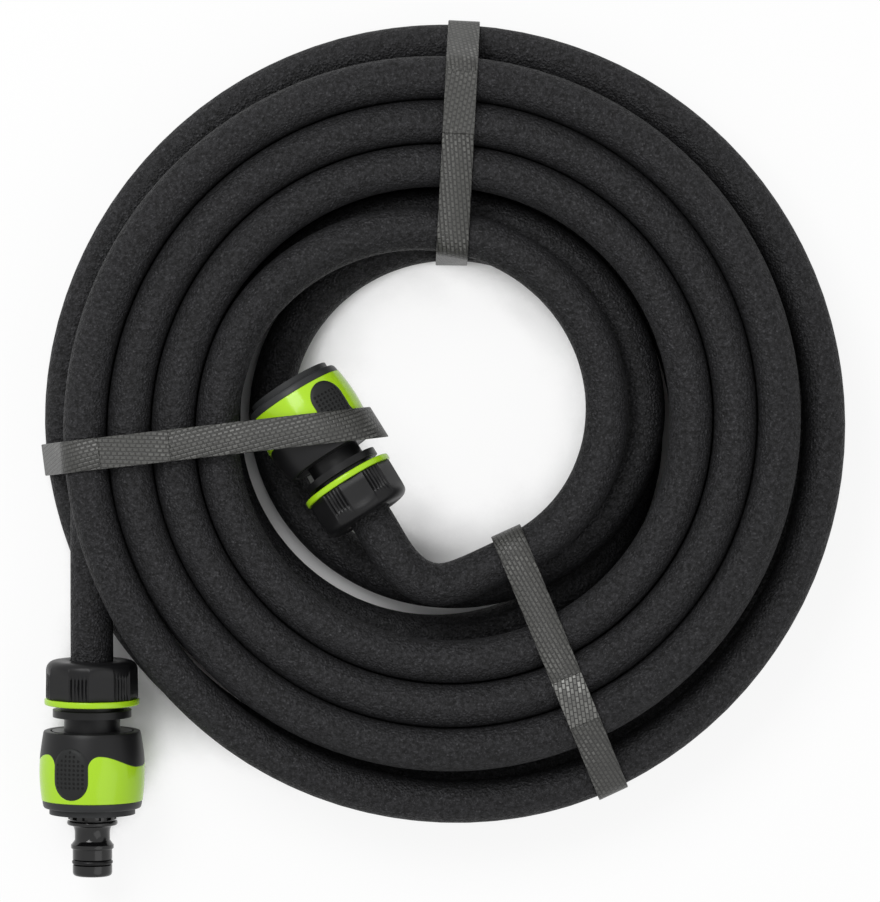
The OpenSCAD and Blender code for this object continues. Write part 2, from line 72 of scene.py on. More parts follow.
def srgb(code: str) -> tuple[float, float, float, float]:
    """Turns an sRGB hex colour to linear.

    Args:
        code: Six hex digits after a number sign.

    Returns:
        Linear red, green, blue and a full alpha.
    """
    parts = [int(code[i : i + 2], 16) / 255 for i in (1, 3, 5)]
    linear = [c / 12.92 if c <= 0.04045 else ((c + 0.055) / 1.055) ** 2.4 for c in parts]
    return (linear[0], linear[1], linear[2], 1.0)


def add_node(tree: bpy.types.NodeTree, kind: str, inputs: dict | None = None, **settings) -> bpy.types.Node:
    """Adds one node with its settings, values and links.

    Args:
        tree: The material's node tree.
        kind: The node's type name, without the ShaderNode prefix.
        inputs: Values, output sockets or nodes (their first output), by the input's name or number.
        settings: Attributes of the node.

    Returns:
        The new node.
    """
    node = tree.nodes.new("ShaderNode" + kind)
    for name, value in settings.items():
        setattr(node, name, value)
    for key, value in (inputs or {}).items():
        socket = node.inputs[key]
        if isinstance(value, bpy.types.Node):
            value = value.outputs[0]
        if isinstance(value, bpy.types.NodeSocket):
            tree.links.new(value, socket)
        else:
            socket.default_value = value
    return node


def new_material(name: str) -> tuple[bpy.types.Material, bpy.types.NodeTree]:
    """Makes an empty node material.

    Args:
        name: The material's name.

    Returns:
        The material and its node tree.
    """
    material = bpy.data.materials.new(name)
    material.use_nodes = True
    material.node_tree.nodes.clear()
    return material, material.node_tree


def white_seen(tree: bpy.types.NodeTree) -> bpy.types.NodeSocket:
    """Gives 1 where the camera, gloss or glass looks at a background, which then shows white."""
    rays = add_node(tree, "LightPath").outputs
    seen = add_node(tree, "Math", {0: rays["Is Camera Ray"], 1: rays["Is Glossy Ray"]}, operation="MAXIMUM")
    both = {0: seen, 1: rays["Is Transmission Ray"]}
    return add_node(tree, "Math", both, operation="MAXIMUM").outputs[0]


# ---------------------------------------------------------------- finishes


@dataclass(frozen=True)
class PorousRubber:
    """Recycled rubber crumb, extruded hot with a binder: matt charcoal with a coarse, torn, open grain."""

    name: str = "recycled_rubber_crumb"
    dark: str = "#09090a"
    light: str = "#222224"
    glint: str = "#38383a"
    crumb: float = 1.6 * MM
    pore: float = 0.9 * MM
    torn: float = 0.8 * MM
    relief: float = 0.5 * MM

    def make(self) -> bpy.types.Material:
        """Builds the material."""
        material, tree = new_material(self.name)
        place = add_node(tree, "TexCoord").outputs["Object"]
        crumbs = add_node(
            tree, "TexNoise", {"Vector": place, "Scale": 1 / self.crumb, "Detail": 4.0, "Roughness": 0.65}
        )
        pores = add_node(tree, "TexVoronoi", {"Vector": place, "Scale": 1 / self.pore})
        flecks = add_node(tree, "MapRange", {"Value": crumbs, "From Min": 0.38, "From Max": 0.62})
        base = add_node(tree, "Mix", {0: flecks, 6: srgb(self.dark), 7: srgb(self.light)}, data_type="RGBA")
        # Painted highlights: torn crumb faces that catch the light, drawn as bright flecks about a millimetre wide
        # so that they show
        torn = add_node(tree, "TexNoise", {"Vector": place, "Scale": 1 / self.torn, "Detail": 1.0})
        painted_glints = add_node(tree, "MapRange", {"Value": torn, "From Min": 0.62, "From Max": 0.76})
        colour = add_node(
            tree, "Mix", {0: painted_glints, 6: base.outputs[2], 7: srgb(self.glint)}, data_type="RGBA"
        )
        height = add_node(tree, "Math", {0: crumbs, 1: pores.outputs["Distance"]}, operation="ADD")
        bump = add_node(tree, "Bump", {"Height": height, "Distance": self.relief, "Strength": 0.9})
        rough = add_node(tree, "MapRange", {
            "Value": crumbs, "From Min": 0.3, "From Max": 0.7, "To Min": 0.78, "To Max": 0.52,
        })
        shader = add_node(tree, "BsdfPrincipled", {
            "Base Color": colour.outputs[2], "Roughness": rough, "IOR": 1.5, "Specular IOR Level": 0.25,
            "Normal": bump,
        })
        add_node(tree, "OutputMaterial", {"Surface": shader})
        return material


@dataclass(frozen=True)
class MouldedPlastic:
    """A moulded plastic: an even colour with a very fine spark-eroded grain that softens its gloss."""

    name: str
    colour: str
    shade: str
    roughness: float
    ior: float = 1.53
    specular: float = 0.2
    coat: float = 0.0
    cloud: float = 9 * MM
    grain: float = 0.25 * MM
    relief: float = 0.012 * MM

    def make(self) -> bpy.types.Material:
        """Builds the material."""
        material, tree = new_material(self.name)
        place = add_node(tree, "TexCoord").outputs["Object"]
        clouds = add_node(tree, "TexNoise", {"Vector": place, "Scale": 1 / self.cloud, "Detail": 2.0})
        grain = add_node(tree, "TexNoise", {"Vector": place, "Scale": 1 / self.grain, "Detail": 2.0})
        bump = add_node(tree, "Bump", {"Height": grain, "Distance": self.relief, "Strength": 0.6})
        rough = add_node(tree, "MapRange", {
            "Value": clouds, "From Min": 0.3, "From Max": 0.7,
            "To Min": self.roughness - 0.05, "To Max": self.roughness + 0.06,
        })
        colour = add_node(
            tree, "Mix", {0: clouds, 6: srgb(self.shade), 7: srgb(self.colour)}, data_type="RGBA"
        )
        shader = add_node(tree, "BsdfPrincipled", {
            "Base Color": colour.outputs[2], "Roughness": rough, "IOR": self.ior,
            "Specular IOR Level": self.specular, "Coat Weight": self.coat, "Coat Roughness": 0.12,
            "Normal": bump,
        })
        add_node(tree, "OutputMaterial", {"Surface": shader})
        return material


@dataclass(frozen=True)
class DrawnWire:
    """Spring steel drawn through a die: bright, with fine streaks along the wire."""

    name: str = "drawn_spring_steel"
    colour: str = "#b9bbbd"

    def make(self) -> bpy.types.Material:
        """Builds the material."""
        material, tree = new_material(self.name)
        place = add_node(tree, "TexCoord").outputs["Object"]
        streaks = add_node(tree, "TexNoise", {"Vector": place, "Scale": 1 / (0.4 * MM), "Detail": 3.0})
        rough = add_node(tree, "MapRange", {"Value": streaks, "To Min": 0.2, "To Max": 0.4})
        shader = add_node(tree, "BsdfPrincipled", {
            "Base Color": srgb(self.colour), "Metallic": 1.0, "Roughness": rough,
        })
        add_node(tree, "OutputMaterial", {"Surface": shader})
        return material


@dataclass(frozen=True)
class WovenTape:
    """Woven polypropylene strapping: flat shiny ribs along the tape that dive under each other in rows."""

    name: str = "woven_polypropylene_tape"
    furrow_shade: str = "#242422"
    rib: str = "#40403d"
    glint: str = "#666663"
    stitch_len: float = 2.2 * MM
    stitch_wide: float = 1.5 * MM
    slant: float = 8.0
    between: float = 0.3
    fibre: float = 0.5 * MM
    patch: float = 18 * MM

    def make(self) -> bpy.types.Material:
        """Builds the material, on the piece's UV map, which is in metres along and across the tape."""
        material, tree = new_material(self.name)
        along = add_node(tree, "UVMap")
        slant = add_node(
            tree, "Mapping", {"Vector": along, "Rotation": (0.0, 0.0, math.radians(self.slant))}
        )
        # Light stitches in rows, with dark furrows between them; the furrows' dark colour is painted shade
        weave = add_node(tree, "TexBrick", {
            "Vector": slant, "Color1": (1, 1, 1, 1), "Color2": (0.7, 0.7, 0.7, 1), "Mortar": (0, 0, 0, 1),
            "Scale": 1.0, "Mortar Size": self.between * self.stitch_wide, "Mortar Smooth": 1.0,
            "Bias": -0.2, "Brick Width": self.stitch_len, "Row Height": self.stitch_wide,
        }, offset=0.5)
        fibres = add_node(tree, "TexNoise", {"Vector": along, "Scale": 1 / self.fibre, "Detail": 3.0})
        patches = add_node(tree, "TexNoise", {"Vector": along, "Scale": 1 / self.patch, "Detail": 1.0})
        # Painted highlights: in slow patches, some stitches are brightened towards the glint colour
        worn_and_glint = add_node(
            tree, "MapRange", {"Value": patches, "From Min": 0.45, "From Max": 0.75, "To Min": 0.08}
        )
        crown = add_node(tree, "MapRange", {"Value": weave, "From Min": 0.75, "From Max": 1.0})
        bright = add_node(tree, "Math", {0: crown, 1: worn_and_glint}, operation="MULTIPLY")
        ribs = add_node(tree, "Mix", {0: bright, 6: srgb(self.rib), 7: srgb(self.glint)}, data_type="RGBA")
        colour = add_node(
            tree, "Mix", {0: weave, 6: srgb(self.furrow_shade), 7: ribs.outputs[2]}, data_type="RGBA"
        )
        height = add_node(tree, "Math", {0: fibres, 1: 0.25, 2: weave}, operation="MULTIPLY_ADD")
        bump = add_node(tree, "Bump", {"Height": height, "Distance": 0.22 * MM, "Strength": 0.9})
        shader = add_node(tree, "BsdfPrincipled", {
            "Base Color": colour.outputs[2], "Roughness": 0.42, "IOR": 1.49, "Normal": bump,
        })
        add_node(tree, "OutputMaterial", {"Surface": shader})
        return material


@dataclass(frozen=True)
class PaperSweep:
    """A white paper sweep: white to the camera and in reflections, matt in its own light."""

    name: str = "white_paper_sweep"
    colour: str = "#f4f4f4"
    glow: float = 0.88

    def make(self) -> bpy.types.Material:
        """Builds the material."""
        material, tree = new_material(self.name)
        white = add_node(tree, "Emission", {"Color": (1, 1, 1, 1), "Strength": 1.0})
        also = white_seen(tree)
        # The paper is one plain colour. In narrow gaps it doesn't glow, so that its real shadow shows there
        paper = add_node(tree, "BsdfDiffuse", {"Color": srgb(self.colour)})
        open_sky = add_node(tree, "AmbientOcclusion", {"Distance": 60 * MM}, samples=16)
        lit = add_node(tree, "MapRange", {
            "Value": open_sky.outputs["AO"], "From Min": 0.38, "From Max": 0.5,
        }, interpolation_type="SMOOTHSTEP")
        share = add_node(tree, "Math", {0: also, 1: lit}, operation="MULTIPLY")
        share = add_node(tree, "Math", {0: share, 1: self.glow}, operation="MULTIPLY")
        sheet = add_node(tree, "MixShader", {0: share, 1: paper, 2: white})
        add_node(tree, "OutputMaterial", {"Surface": sheet})
        return material


RUBBER = PorousRubber()
BLACK_ABS = MouldedPlastic("satin_black_abs", "#171718", "#131314", 0.36)
LIME_ABS = MouldedPlastic("gloss_lime_abs", "#a9d822", "#a2d11e", 0.24, coat=0.2)
SOFT_GRIP = MouldedPlastic("soft_grip_elastomer", "#202021", "#1b1b1c", 0.66, relief=0.03 * MM)
DARK_RIM = MouldedPlastic("dark_grey_abs", "#2c2d2e", "#262728", 0.45)
GLOSS_PLUG = MouldedPlastic("gloss_black_nylon", "#0c0c0d", "#09090a", 0.14, specular=0.35, coat=0.1)
ACETAL = MouldedPlastic("natural_acetal", "#dcdcd4", "#d2d2ca", 0.35)
SEAL = MouldedPlastic("moulded_seal_rubber", "#0e0e0f", "#0a0a0b", 0.3)
WIRE = DrawnWire()
TAPE = WovenTape()
# The welded lap: lighter ribs, and a much brighter painted highlight than on the rest of the tape
WELD = WovenTape("heat_welded_tape", "#1e1e1d", "#5a5a57", "#c4c4c0", 2.2 * MM, 1.4 * MM, slant=14.0,
                 between=0.2)
FINISH_OF_SLOT = {
    "porous_rubber": RUBBER, "black_plastic": BLACK_ABS, "lime_plastic": LIME_ABS, "soft_grip": SOFT_GRIP,
    "white_plastic": ACETAL, "spring_steel": WIRE, "seal_rubber": SEAL, "grey_tape": TAPE,
}


@dataclass
class Paints:
    """Every finish made once, by its name."""

    made: dict[str, bpy.types.Material] = field(default_factory=dict)

    def of(self, finish) -> bpy.types.Material:
        """Gives a finish's material, made at its first use."""
        if finish.name not in self.made:
            self.made[finish.name] = finish.make()
        return self.made[finish.name]

    def dress(self, piece: bpy.types.Object, finish) -> None:
        """Gives a piece one finish all over.

        Args:
            piece: The object to paint.
            finish: The finish that it takes.
        """
        piece.data.materials.clear()
        piece.data.materials.append(self.of(finish))


# ---------------------------------------------------------------- meshes


def mesh_piece(name: str, corners: list[Vector], faces: list[list[int]]) -> bpy.types.Object:
    """Makes a mesh object at the origin.

    Args:
        name: The piece's name.
        corners: Its points in the frame, in metres.
        faces: Its faces, as point numbers.

    Returns:
        The new object, smooth shaded.
    """
    mesh = bpy.data.meshes.new(name)
    mesh.from_pydata([tuple(c) for c in corners], [], faces)
    mesh.update()
    piece = bpy.data.objects.new(name, mesh)
    bpy.context.scene.collection.objects.link(piece)
    mesh.shade_smooth()
    return piece


# ---------------------------------------------------------------- the hose


def smooth(s: float) -> float:
    """Eases a share from 0 to 1."""
    return s * s * (3 - 2 * s)


def mix(p: float, q: float, s: float) -> float:
    """Gives the value a share of the way from p to q."""
    return p + (q - p) * s


@dataclass(frozen=True)
class Leg:
    """One leg of the coil: how far it goes round, and its radii, heights and bulge in millimetres."""

    turns: float
    radius: tuple[float, float]
    height: tuple[float, float]
    bulge: float = 0.0


@dataclass
class ConnectorPlace:
    """Where a connector stands: its nut's rear face, and the turn from its own axes to the frame's."""

    which: Connector
    tilt: float
    turn: float
    start: Vector = field(init=False)
    matrix: Matrix = field(init=False)

    def __post_init__(self) -> None:
        """Reads the nut's joint, which stands on the nut's rear face."""
        joint = next(j for j in frame["joints"] if j["name"] == f"{self.which.value}_nut_turn")
        self.start = Vector(joint["pos_m"])
        lean = math.radians(90 + self.tilt)
        if self.which is Connector.OUTER:
            pointed = Matrix.Rotation(lean, 4, "X")
        else:
            pointed = Matrix.Rotation(math.radians(self.turn), 4, "Z") @ Matrix.Rotation(lean, 4, "Y")
        self.matrix = Matrix.Translation(self.start) @ pointed

    def on_axis(self, z: float) -> Vector:
        """Gives the frame's point at z millimetres in front of the nut's rear face."""
        return self.matrix @ Vector((0, 0, z * MM))


OUTER_PLACE = ConnectorPlace(Connector.OUTER, 4.6, 0.0)
INNER_PLACE = ConnectorPlace(Connector.INNER, 6.0, 122.0)
# The coil's centre, from the outer connector's place beside it
COIL_CENTRE = OUTER_PLACE.start + Vector((127.4 * MM, 85.4 * MM, 0))


@dataclass
class Hose:
    """The porous hose: an outer stretch, three levels of turns and an inner run, as one tube."""

    diameter: float = 15.5
    turn_gap: float = 0.5
    level_gap: float = 0.4
    tape: float = 1.15
    bottom_gap: float = 3.2
    inner_turn: float = 63.0
    bottom_turns: float = 3.5
    middle_out: float = 127.4
    middle_turn: float = 117.4
    middle_in: float = 73.0
    top_out: float = 131.0
    top_turns: float = 3.15
    run: float = 54.0
    sunk: float = 38.0
    climb_out: float = 0.8
    nut_pull: float = 2.6
    start_angle: float = 180.0
    steps_a_turn: int = 96
    rings_a_turn: int = 24
    sides: int = 28
    hidden_end: float = 14.3
    bore: float = 12.0
    straight_back: float = 6.0
    inner_route: tuple[Point, ...] = (
        (17, -51.5, 36.5), (7, -56, 37), (-1.3, -58.3, 38), (-9.8, -56, 40),
    )
    outer_route: tuple[Point, ...] = (
        (-127.4, -15.5, 24.8), (-127.4, -31, 24.8), (-127.4, -50, 24.8), (-127.4, -60, 24.3),
    )
    legs: list[Leg] = field(init=False)

    def __post_init__(self) -> None:
        """Works out the legs from the driving sizes."""
        pitch = self.diameter + self.turn_gap
        rise = self.diameter + self.level_gap
        low = self.tape + self.diameter / 2
        mid, high = low + rise, low + 2 * rise
        low_pitch = self.diameter + self.bottom_gap
        low_last = self.inner_turn + self.bottom_turns * low_pitch
        out = low_last + low_pitch / 2
        climb = out + self.climb_out
        last = self.top_out - self.top_turns * pitch
        self.legs = [
            Leg(0.25, (self.middle_out, self.middle_turn), (mid, mid)),
            Leg(2.25, (self.middle_turn, self.middle_in), (mid, mid)),
            Leg(0.5, (self.middle_in, self.inner_turn), (mid, low), -9.0),
            Leg(self.bottom_turns, (self.inner_turn, low_last), (low, low)),
            Leg(0.5, (low_last, out), (low, low), -self.nut_pull),
            Leg(0.5, (out, climb), (low, mid)),
            Leg(0.2, (climb, climb), (mid, mid)),
            Leg(0.23, (climb, self.top_out), (mid, high)),
            Leg(self.top_turns, (self.top_out, last), (high, high)),
            Leg(0.5867, (last, self.run), (high, self.sunk), -3.0),
        ]

    @property
    def turns(self) -> float:
        """All turns of the coil."""
        return sum(leg.turns for leg in self.legs)

    def place_at(self, turns: float) -> tuple[float, float]:
        """Gives the centreline's radius and height after so many turns."""
        done = 0.0
        for leg in self.legs:
            if turns < done + leg.turns or leg is self.legs[-1]:
                break
            done += leg.turns
        s = (turns - done) / leg.turns
        radius = mix(*leg.radius, s) + leg.bulge * math.sin(math.pi * s)
        return radius, mix(*leg.height, smooth(s))

    def point_at(self, turns: float) -> Vector:
        """Gives the centreline's point after so many turns, in the frame."""
        radius, height = self.place_at(turns)
        angle = math.radians(self.start_angle - 360 * turns)
        return self.in_frame((radius * math.cos(angle), radius * math.sin(angle), height))

    @staticmethod
    def in_frame(p: Point) -> Vector:
        """Turns a point from the coil's centre, in millimetres, to the frame."""
        return Vector((COIL_CENTRE.x + p[0] * MM, COIL_CENTRE.y + p[1] * MM, p[2] * MM))

    def centreline(self) -> list[Vector]:
        """Lays the whole route, from the outer nut to the inner nut.

        Returns:
            Points about 4 mm apart, eased where one leg runs into the next.
        """
        back = -self.straight_back - self.diameter
        knots = [OUTER_PLACE.on_axis(z) for z in (self.hidden_end, 0.0, -self.straight_back, back * 0.8)]
        knots += [self.in_frame(p) for p in reversed(self.outer_route)]
        steps = int(self.turns * self.steps_a_turn)
        coil = [self.point_at(i / self.steps_a_turn) for i in range(steps + 1)]
        tail = [self.in_frame(p) for p in self.inner_route]
        tail += [INNER_PLACE.on_axis(z) for z in (back, -self.straight_back, 0.0, self.hidden_end)]
        first = curve_through([*knots, *coil[:2]])
        final = curve_through([*coil[-2:], *tail])
        return ease([*first, *coil[2:-2], *final], 3)

    def build(self, paints: Paints) -> bpy.types.Object:
        line = even(self.centreline(), 3.2 * MM)
        piece = sweep("hose", line, self.diameter / 2 * MM, self.bore / 2 * MM, self.sides)
        paints.dress(piece, RUBBER)
        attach(piece, "pack")
        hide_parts("hose_coil", "outer_hose_tail", "outer_hose_end", "inner_hose_end")
        return piece


def curve_through(knots: list[Vector], step: float = 3 * MM) -> list[Vector]:
    """Lays a smooth curve through points, each stretch bent by its neighbours.

    Args:
        knots: The points that it goes through.
        step: About how far apart the new points are.

    Returns:
        The curve's points, both ends included.
    """
    line: list[Vector] = []
    ends = [2 * knots[0] - knots[1], *knots, 2 * knots[-1] - knots[-2]]
    for a, b, c, d in zip(ends, ends[1:], ends[2:], ends[3:]):
        span = (c - b).length
        wide = max((b - a).length, 1e-6), max(span, 1e-6), max((d - c).length, 1e-6)
        slope_b = ((b - a) / wide[0] * wide[1] + (c - b) / wide[1] * wide[0]) / (wide[0] + wide[1])
        slope_c = ((c - b) / wide[1] * wide[2] + (d - c) / wide[2] * wide[1]) / (wide[1] + wide[2])
        count = max(1, round(span / step))
        for i in range(count):
            t = i / count
            line.append(
                b * (2 * t**3 - 3 * t**2 + 1) + slope_b * span * (t**3 - 2 * t**2 + t)
                + c * (3 * t**2 - 2 * t**3) + slope_c * span * (t**3 - t**2)
            )
    line.append(knots[-1])
    return line


def ease(line: list[Vector], rounds: int) -> list[Vector]:
    """Softens small corners by averaging each point with its neighbours, ends kept."""
    for _ in range(rounds):
        line = [line[0], *[(a + 2 * b + c) / 4 for a, b, c in zip(line, line[1:], line[2:])], line[-1]]
    return line


def even(line: list[Vector], step: float) -> list[Vector]:
    """Spaces a line's points evenly.

    Args:
        line: The points as they are.
        step: The spacing wanted, in metres.

    Returns:
        Evenly spaced points with the same ends.
    """
    total = sum((b - a).length for a, b in zip(line, line[1:]))
    count = max(2, round(total / step))
    gap, out, done, i = total / count, [line[0]], 0.0, 0
    for k in range(1, count):
        want = k * gap
        while done + (line[i + 1] - line[i]).length < want:
            done += (line[i + 1] - line[i]).length
            i += 1
        out.append(line[i].lerp(line[i + 1], (want - done) / (line[i + 1] - line[i]).length))
    return [*out, line[-1]]


def sweep(name: str, line: list[Vector], radius: float, bore: float, sides: int,
          deep: int = 8) -> bpy.types.Object:
    """Sweeps a round tube along a line, with both ends bored out and closed further in.

    Args:
        name: The piece's name.
        line: The centreline.
        radius: The tube's radius.
        bore: The bore's radius at the ends.
        sides: Corners of a ring.
        deep: How many rings deep the bores go.

    Returns:
        The tube.
    """
    frames: list[tuple[Vector, Vector]] = []
    side = Vector((1, 0, 0))
    for i in range(len(line)):
        along = (line[min(i + 1, len(line) - 1)] - line[max(i - 1, 0)]).normalized()
        side = (side - along * side.dot(along)).normalized()
        frames.append((side, side.cross(along)))
    last = len(line) - 1
    rings = [(i, bore) for i in range(deep, -1, -1)] + [(i, radius) for i in range(last + 1)]
    rings += [(i, bore) for i in range(last, last - deep - 1, -1)]
    corners: list[Vector] = []
    for i, wide in rings:
        side, up = frames[i]
        for k in range(sides):
            a = 2 * math.pi * k / sides
            corners.append(line[i] + (side * math.cos(a) + up * math.sin(a)) * wide)
    faces = []
    for i in range(len(rings) - 1):
        for k in range(sides):
            a, b = i * sides + k, i * sides + (k + 1) % sides
            faces.append([a, a + sides, b + sides, b])
    faces.append(list(range(sides)))
    faces.append([len(corners) - 1 - k for k in range(sides)])
    return mesh_piece(name, corners, faces)


# ---------------------------------------------------------------- the tapes


@dataclass
class Tape:
    """One closed band of woven tape round all the turns in its width."""

    name: str
    azimuth: float
    middle: float
    hose: Hose
    round_sleeve: bool = False
    bright_weld: bool = False
    sleeve_play: float = 0.5
    width: float = 11.5
    thickness: float = 0.8
    clearance: float = 0.35
    steps: int = 240
    weld: tuple[float, float] = (100.0, 120.0)
    weld_t: float = 0.7

    @property
    def out(self) -> Vector:
        """The level direction from the coil's centre along the tape."""
        return Vector((math.cos(math.radians(self.azimuth)), math.sin(math.radians(self.azimuth)), 0))

    @property
    def across(self) -> Vector:
        """The level direction across the tape."""
        return Vector((-self.out.y, self.out.x, 0))

    def flat(self, p: Vector) -> Vector:
        """Gives a frame point as millimetres outwards, up and across."""
        from_centre = (p - Vector((COIL_CENTRE.x, COIL_CENTRE.y, 0))) / MM
        return Vector((from_centre.dot(self.out), from_centre.z, from_centre.dot(self.across)))

    def rounds(self, w: float) -> list[Round]:
        """Lists what the tape hugs in one plane, as ellipses.

        Args:
            w: The plane's distance across, in millimetres.

        Returns:
            Centres outwards and up, and half widths outwards and up.
        """
        r = self.hose.diameter / 2
        found = []
        turn = ((self.hose.start_angle - self.azimuth + 720) % 360) / 360
        while turn < self.hose.turns + 0.03:
            across = math.asin(w / self.hose.place_at(turn)[0])
            radius, height = self.hose.place_at(turn - across / (2 * math.pi))
            sag = radius * (1 - math.cos(math.pi / self.hose.rings_a_turn))
            found.append((radius * math.cos(across) - sag / 2, height, r + sag / 2, r))
            turn += 1
        if self.round_sleeve:
            found.append(self.sleeve_cut(w))
        return found

    def sleeve_cut(self, w: float) -> Round:
        """Cuts the inner connector's sleeve with the plane at w."""
        centre = self.flat(INNER_PLACE.on_axis(SleeveSizes().centre))
        ahead = self.flat(INNER_PLACE.on_axis(SleeveSizes().centre + 1)) - centre
        t = (w - centre.z) / ahead.z
        lean = abs(ahead.z) / ahead.length
        r = SleeveSizes().mid_r + PadSizes().proud + self.sleeve_play
        return (centre.x + t * ahead.x, centre.y + t * ahead.y, r / lean, r)

    def reach(self, rounds: list[Round], off: float, angle: float) -> tuple[float, float]:
        """Finds the outermost point of the rounds in one direction.

        Args:
            rounds: The ellipses that the tape hugs.
            off: How far outside them the line lies.
            angle: The direction, from outwards towards up.

        Returns:
            Millimetres outwards and up.
        """
        n = (math.cos(angle), math.sin(angle))
        best, place = -1e9, (0.0, 0.0)
        for u, z, a, b in rounds:
            p, q = (a + off) * n[0], (b + off) * n[1]
            size = math.hypot(p, q)
            if u * n[0] + z * n[1] + size > best:
                best = u * n[0] + z * n[1] + size
                place = (u + (a + off) * p / size, z + (b + off) * q / size)
        return place

    def loop(self, off: float, w: float) -> list[Vector]:
        """Lays one closed line of the tape.

        Args:
            off: How far outside the rounds it lies.
            w: Its distance across.

        Returns:
            Points in the frame.
        """
        rounds = self.rounds(w)
        base = Vector((COIL_CENTRE.x, COIL_CENTRE.y, 0))
        points = []
        for i in range(self.steps):
            u, z = self.reach(rounds, off, 2 * math.pi * i / self.steps)
            points.append(base + (self.out * u + self.across * w + Vector((0, 0, z))) * MM)
        return points

    def build(self, paints: Paints) -> bpy.types.Object:
        edge = 0.25
        sides = (self.middle - self.width / 2, self.middle + self.width / 2)
        lines = [
            self.loop(self.clearance + edge, sides[0]),
            self.loop(self.clearance + self.thickness - edge, sides[0]),
            self.loop(self.clearance + self.thickness, sides[0] + edge),
            self.loop(self.clearance + self.thickness, sides[1] - edge),
            self.loop(self.clearance + self.thickness - edge, sides[1]),
            self.loop(self.clearance + edge, sides[1]),
            self.loop(self.clearance, sides[1] - edge),
            self.loop(self.clearance, sides[0] + edge),
        ]
        places = [-self.width / 2, -self.width / 2, -self.width / 2 + edge, self.width / 2 - edge,
                  self.width / 2, self.width / 2, self.width / 2 - edge, -self.width / 2 + edge]
        piece = self.band(self.name + "_tape", lines, places)
        paints.dress(piece, TAPE)
        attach(piece, "pack")
        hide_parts(self.name + "_strap")
        return piece

    def lap(self, paints: Paints) -> bpy.types.Object:
        """Lays the short second layer where the tape's end is welded on top, thinned to its two ends."""
        low = self.clearance + self.thickness
        half = self.width / 2 - 0.1
        at = {w: (self.loop(low, self.middle + w), self.loop(low + self.weld_t, self.middle + w))
              for w in (-half, half)}
        centre = Vector((COIL_CENTRE.x, COIL_CENTRE.y, 0))
        far = [(p - centre).dot(self.out) / MM for p in at[half][0]]
        cut = even(self.stretch([p for p, u in zip(at[half][0], far) if p.z > 40 * MM]), 1 * MM)
        spots = [min(max((p - centre).dot(self.out) / MM, self.weld[0]), self.weld[1]) for p in cut]
        spots = sorted({round(u, 2) for u in spots} | set(self.weld))
        corners: list[Vector] = []
        for number, u in enumerate(spots):
            ends = 0.25 if number in (0, len(spots) - 1) else 1.0
            for w in (-half, half):
                bottom, top = (self.height_at(line, u) for line in at[w])
                spot = centre + (self.out * u + self.across * (self.middle + w)) * MM
                corners += [spot + Vector((0, 0, bottom)), spot + Vector((0, 0, mix(bottom, top, ends)))]
        faces = [[0, 1, 3, 2]]
        for i in range(0, len(corners) - 4, 4):
            faces += [[i + 1, i + 5, i + 7, i + 3], [i, i + 2, i + 6, i + 4],
                      [i, i + 4, i + 5, i + 1], [i + 2, i + 3, i + 7, i + 6]]
        end = len(corners) - 4
        faces.append([end, end + 2, end + 3, end + 1])
        piece = mesh_piece(self.name + "_tape_weld", corners, faces)
        piece.data.shade_flat()
        layer = piece.data.uv_layers.new(name="tape_uv")
        for loop in piece.data.loops:
            number = loop.vertex_index
            layer.data[loop.index].uv = (spots[number // 4] * MM, (half if number % 4 > 1 else -half) * MM)
        paints.dress(piece, WELD if self.bright_weld else TAPE)
        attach(piece, "pack")
        return piece

    @staticmethod
    def stretch(points: list[Vector]) -> list[Vector]:
        """Puts points in order outwards from the coil's centre."""
        return sorted(points, key=lambda p: (p - Vector((COIL_CENTRE.x, COIL_CENTRE.y, p.z))).length)

    def height_at(self, line: list[Vector], u: float) -> float:
        """Finds how high a closed line's upper side lies at a distance outwards.

        Args:
            line: The tape's line.
            u: Millimetres from the coil's centre.

        Returns:
            The height in metres.
        """
        best = 0.0
        for a, b in zip(line, [*line[1:], line[0]]):
            p, q = self.flat(a).x, self.flat(b).x
            if min(p, q) <= u <= max(p, q) and abs(q - p) > 1e-9:
                best = max(best, mix(a.z, b.z, (u - p) / (q - p)))
        return best

    def band(self, name: str, lines: list[list[Vector]], places: list[float]) -> bpy.types.Object:
        """Joins closed lines into a band with a UV map in metres along and across."""
        count, rows = self.steps, len(lines)
        corners = [p for line in lines for p in line]
        faces = [
            [r * count + i, ((r + 1) % rows) * count + i, ((r + 1) % rows) * count + (i + 1) % count,
             r * count + (i + 1) % count]
            for r in range(rows) for i in range(count)
        ]
        piece = mesh_piece(name, corners, faces)
        along = [list(accumulate(((b - a).length for a, b in zip(line, [*line[1:], line[0]])), initial=0.0))
                 for line in lines]
        layer = piece.data.uv_layers.new(name="tape_uv")
        for polygon in piece.data.polygons:
            r, i = divmod(polygon.index, count)
            wrapped = r + 1 if r + 1 < rows else 0
            spots = [(i, r), (i, wrapped), (i + 1, wrapped), (i + 1, r)]
            for loop, (step, row) in zip(polygon.loop_indices, spots):
                layer.data[loop].uv = (along[row][step], places[row] * MM)
        return piece


# ---------------------------------------------------------------- the connectors


@dataclass(frozen=True)
class NutSizes:
    """The clamping nut and the coloured ring in front of it, in millimetres from the nut's rear face."""

    radius: float = 16.6
    length: float = 13.9
    wall: float = 2.5
    hole: float = 8.05
    cavity: float = 11.9
    rounding: float = 3.2
    flats: int = 6
    flat_half: float = 17.0
    groove_step: float = 5.2
    groove_half: float = 11.0
    groove_depth: float = 0.8
    groove_start: float = 4.6
    ring_r: float = 17.3
    ring_bore: float = 11.95
    ring_len: float = 2.2


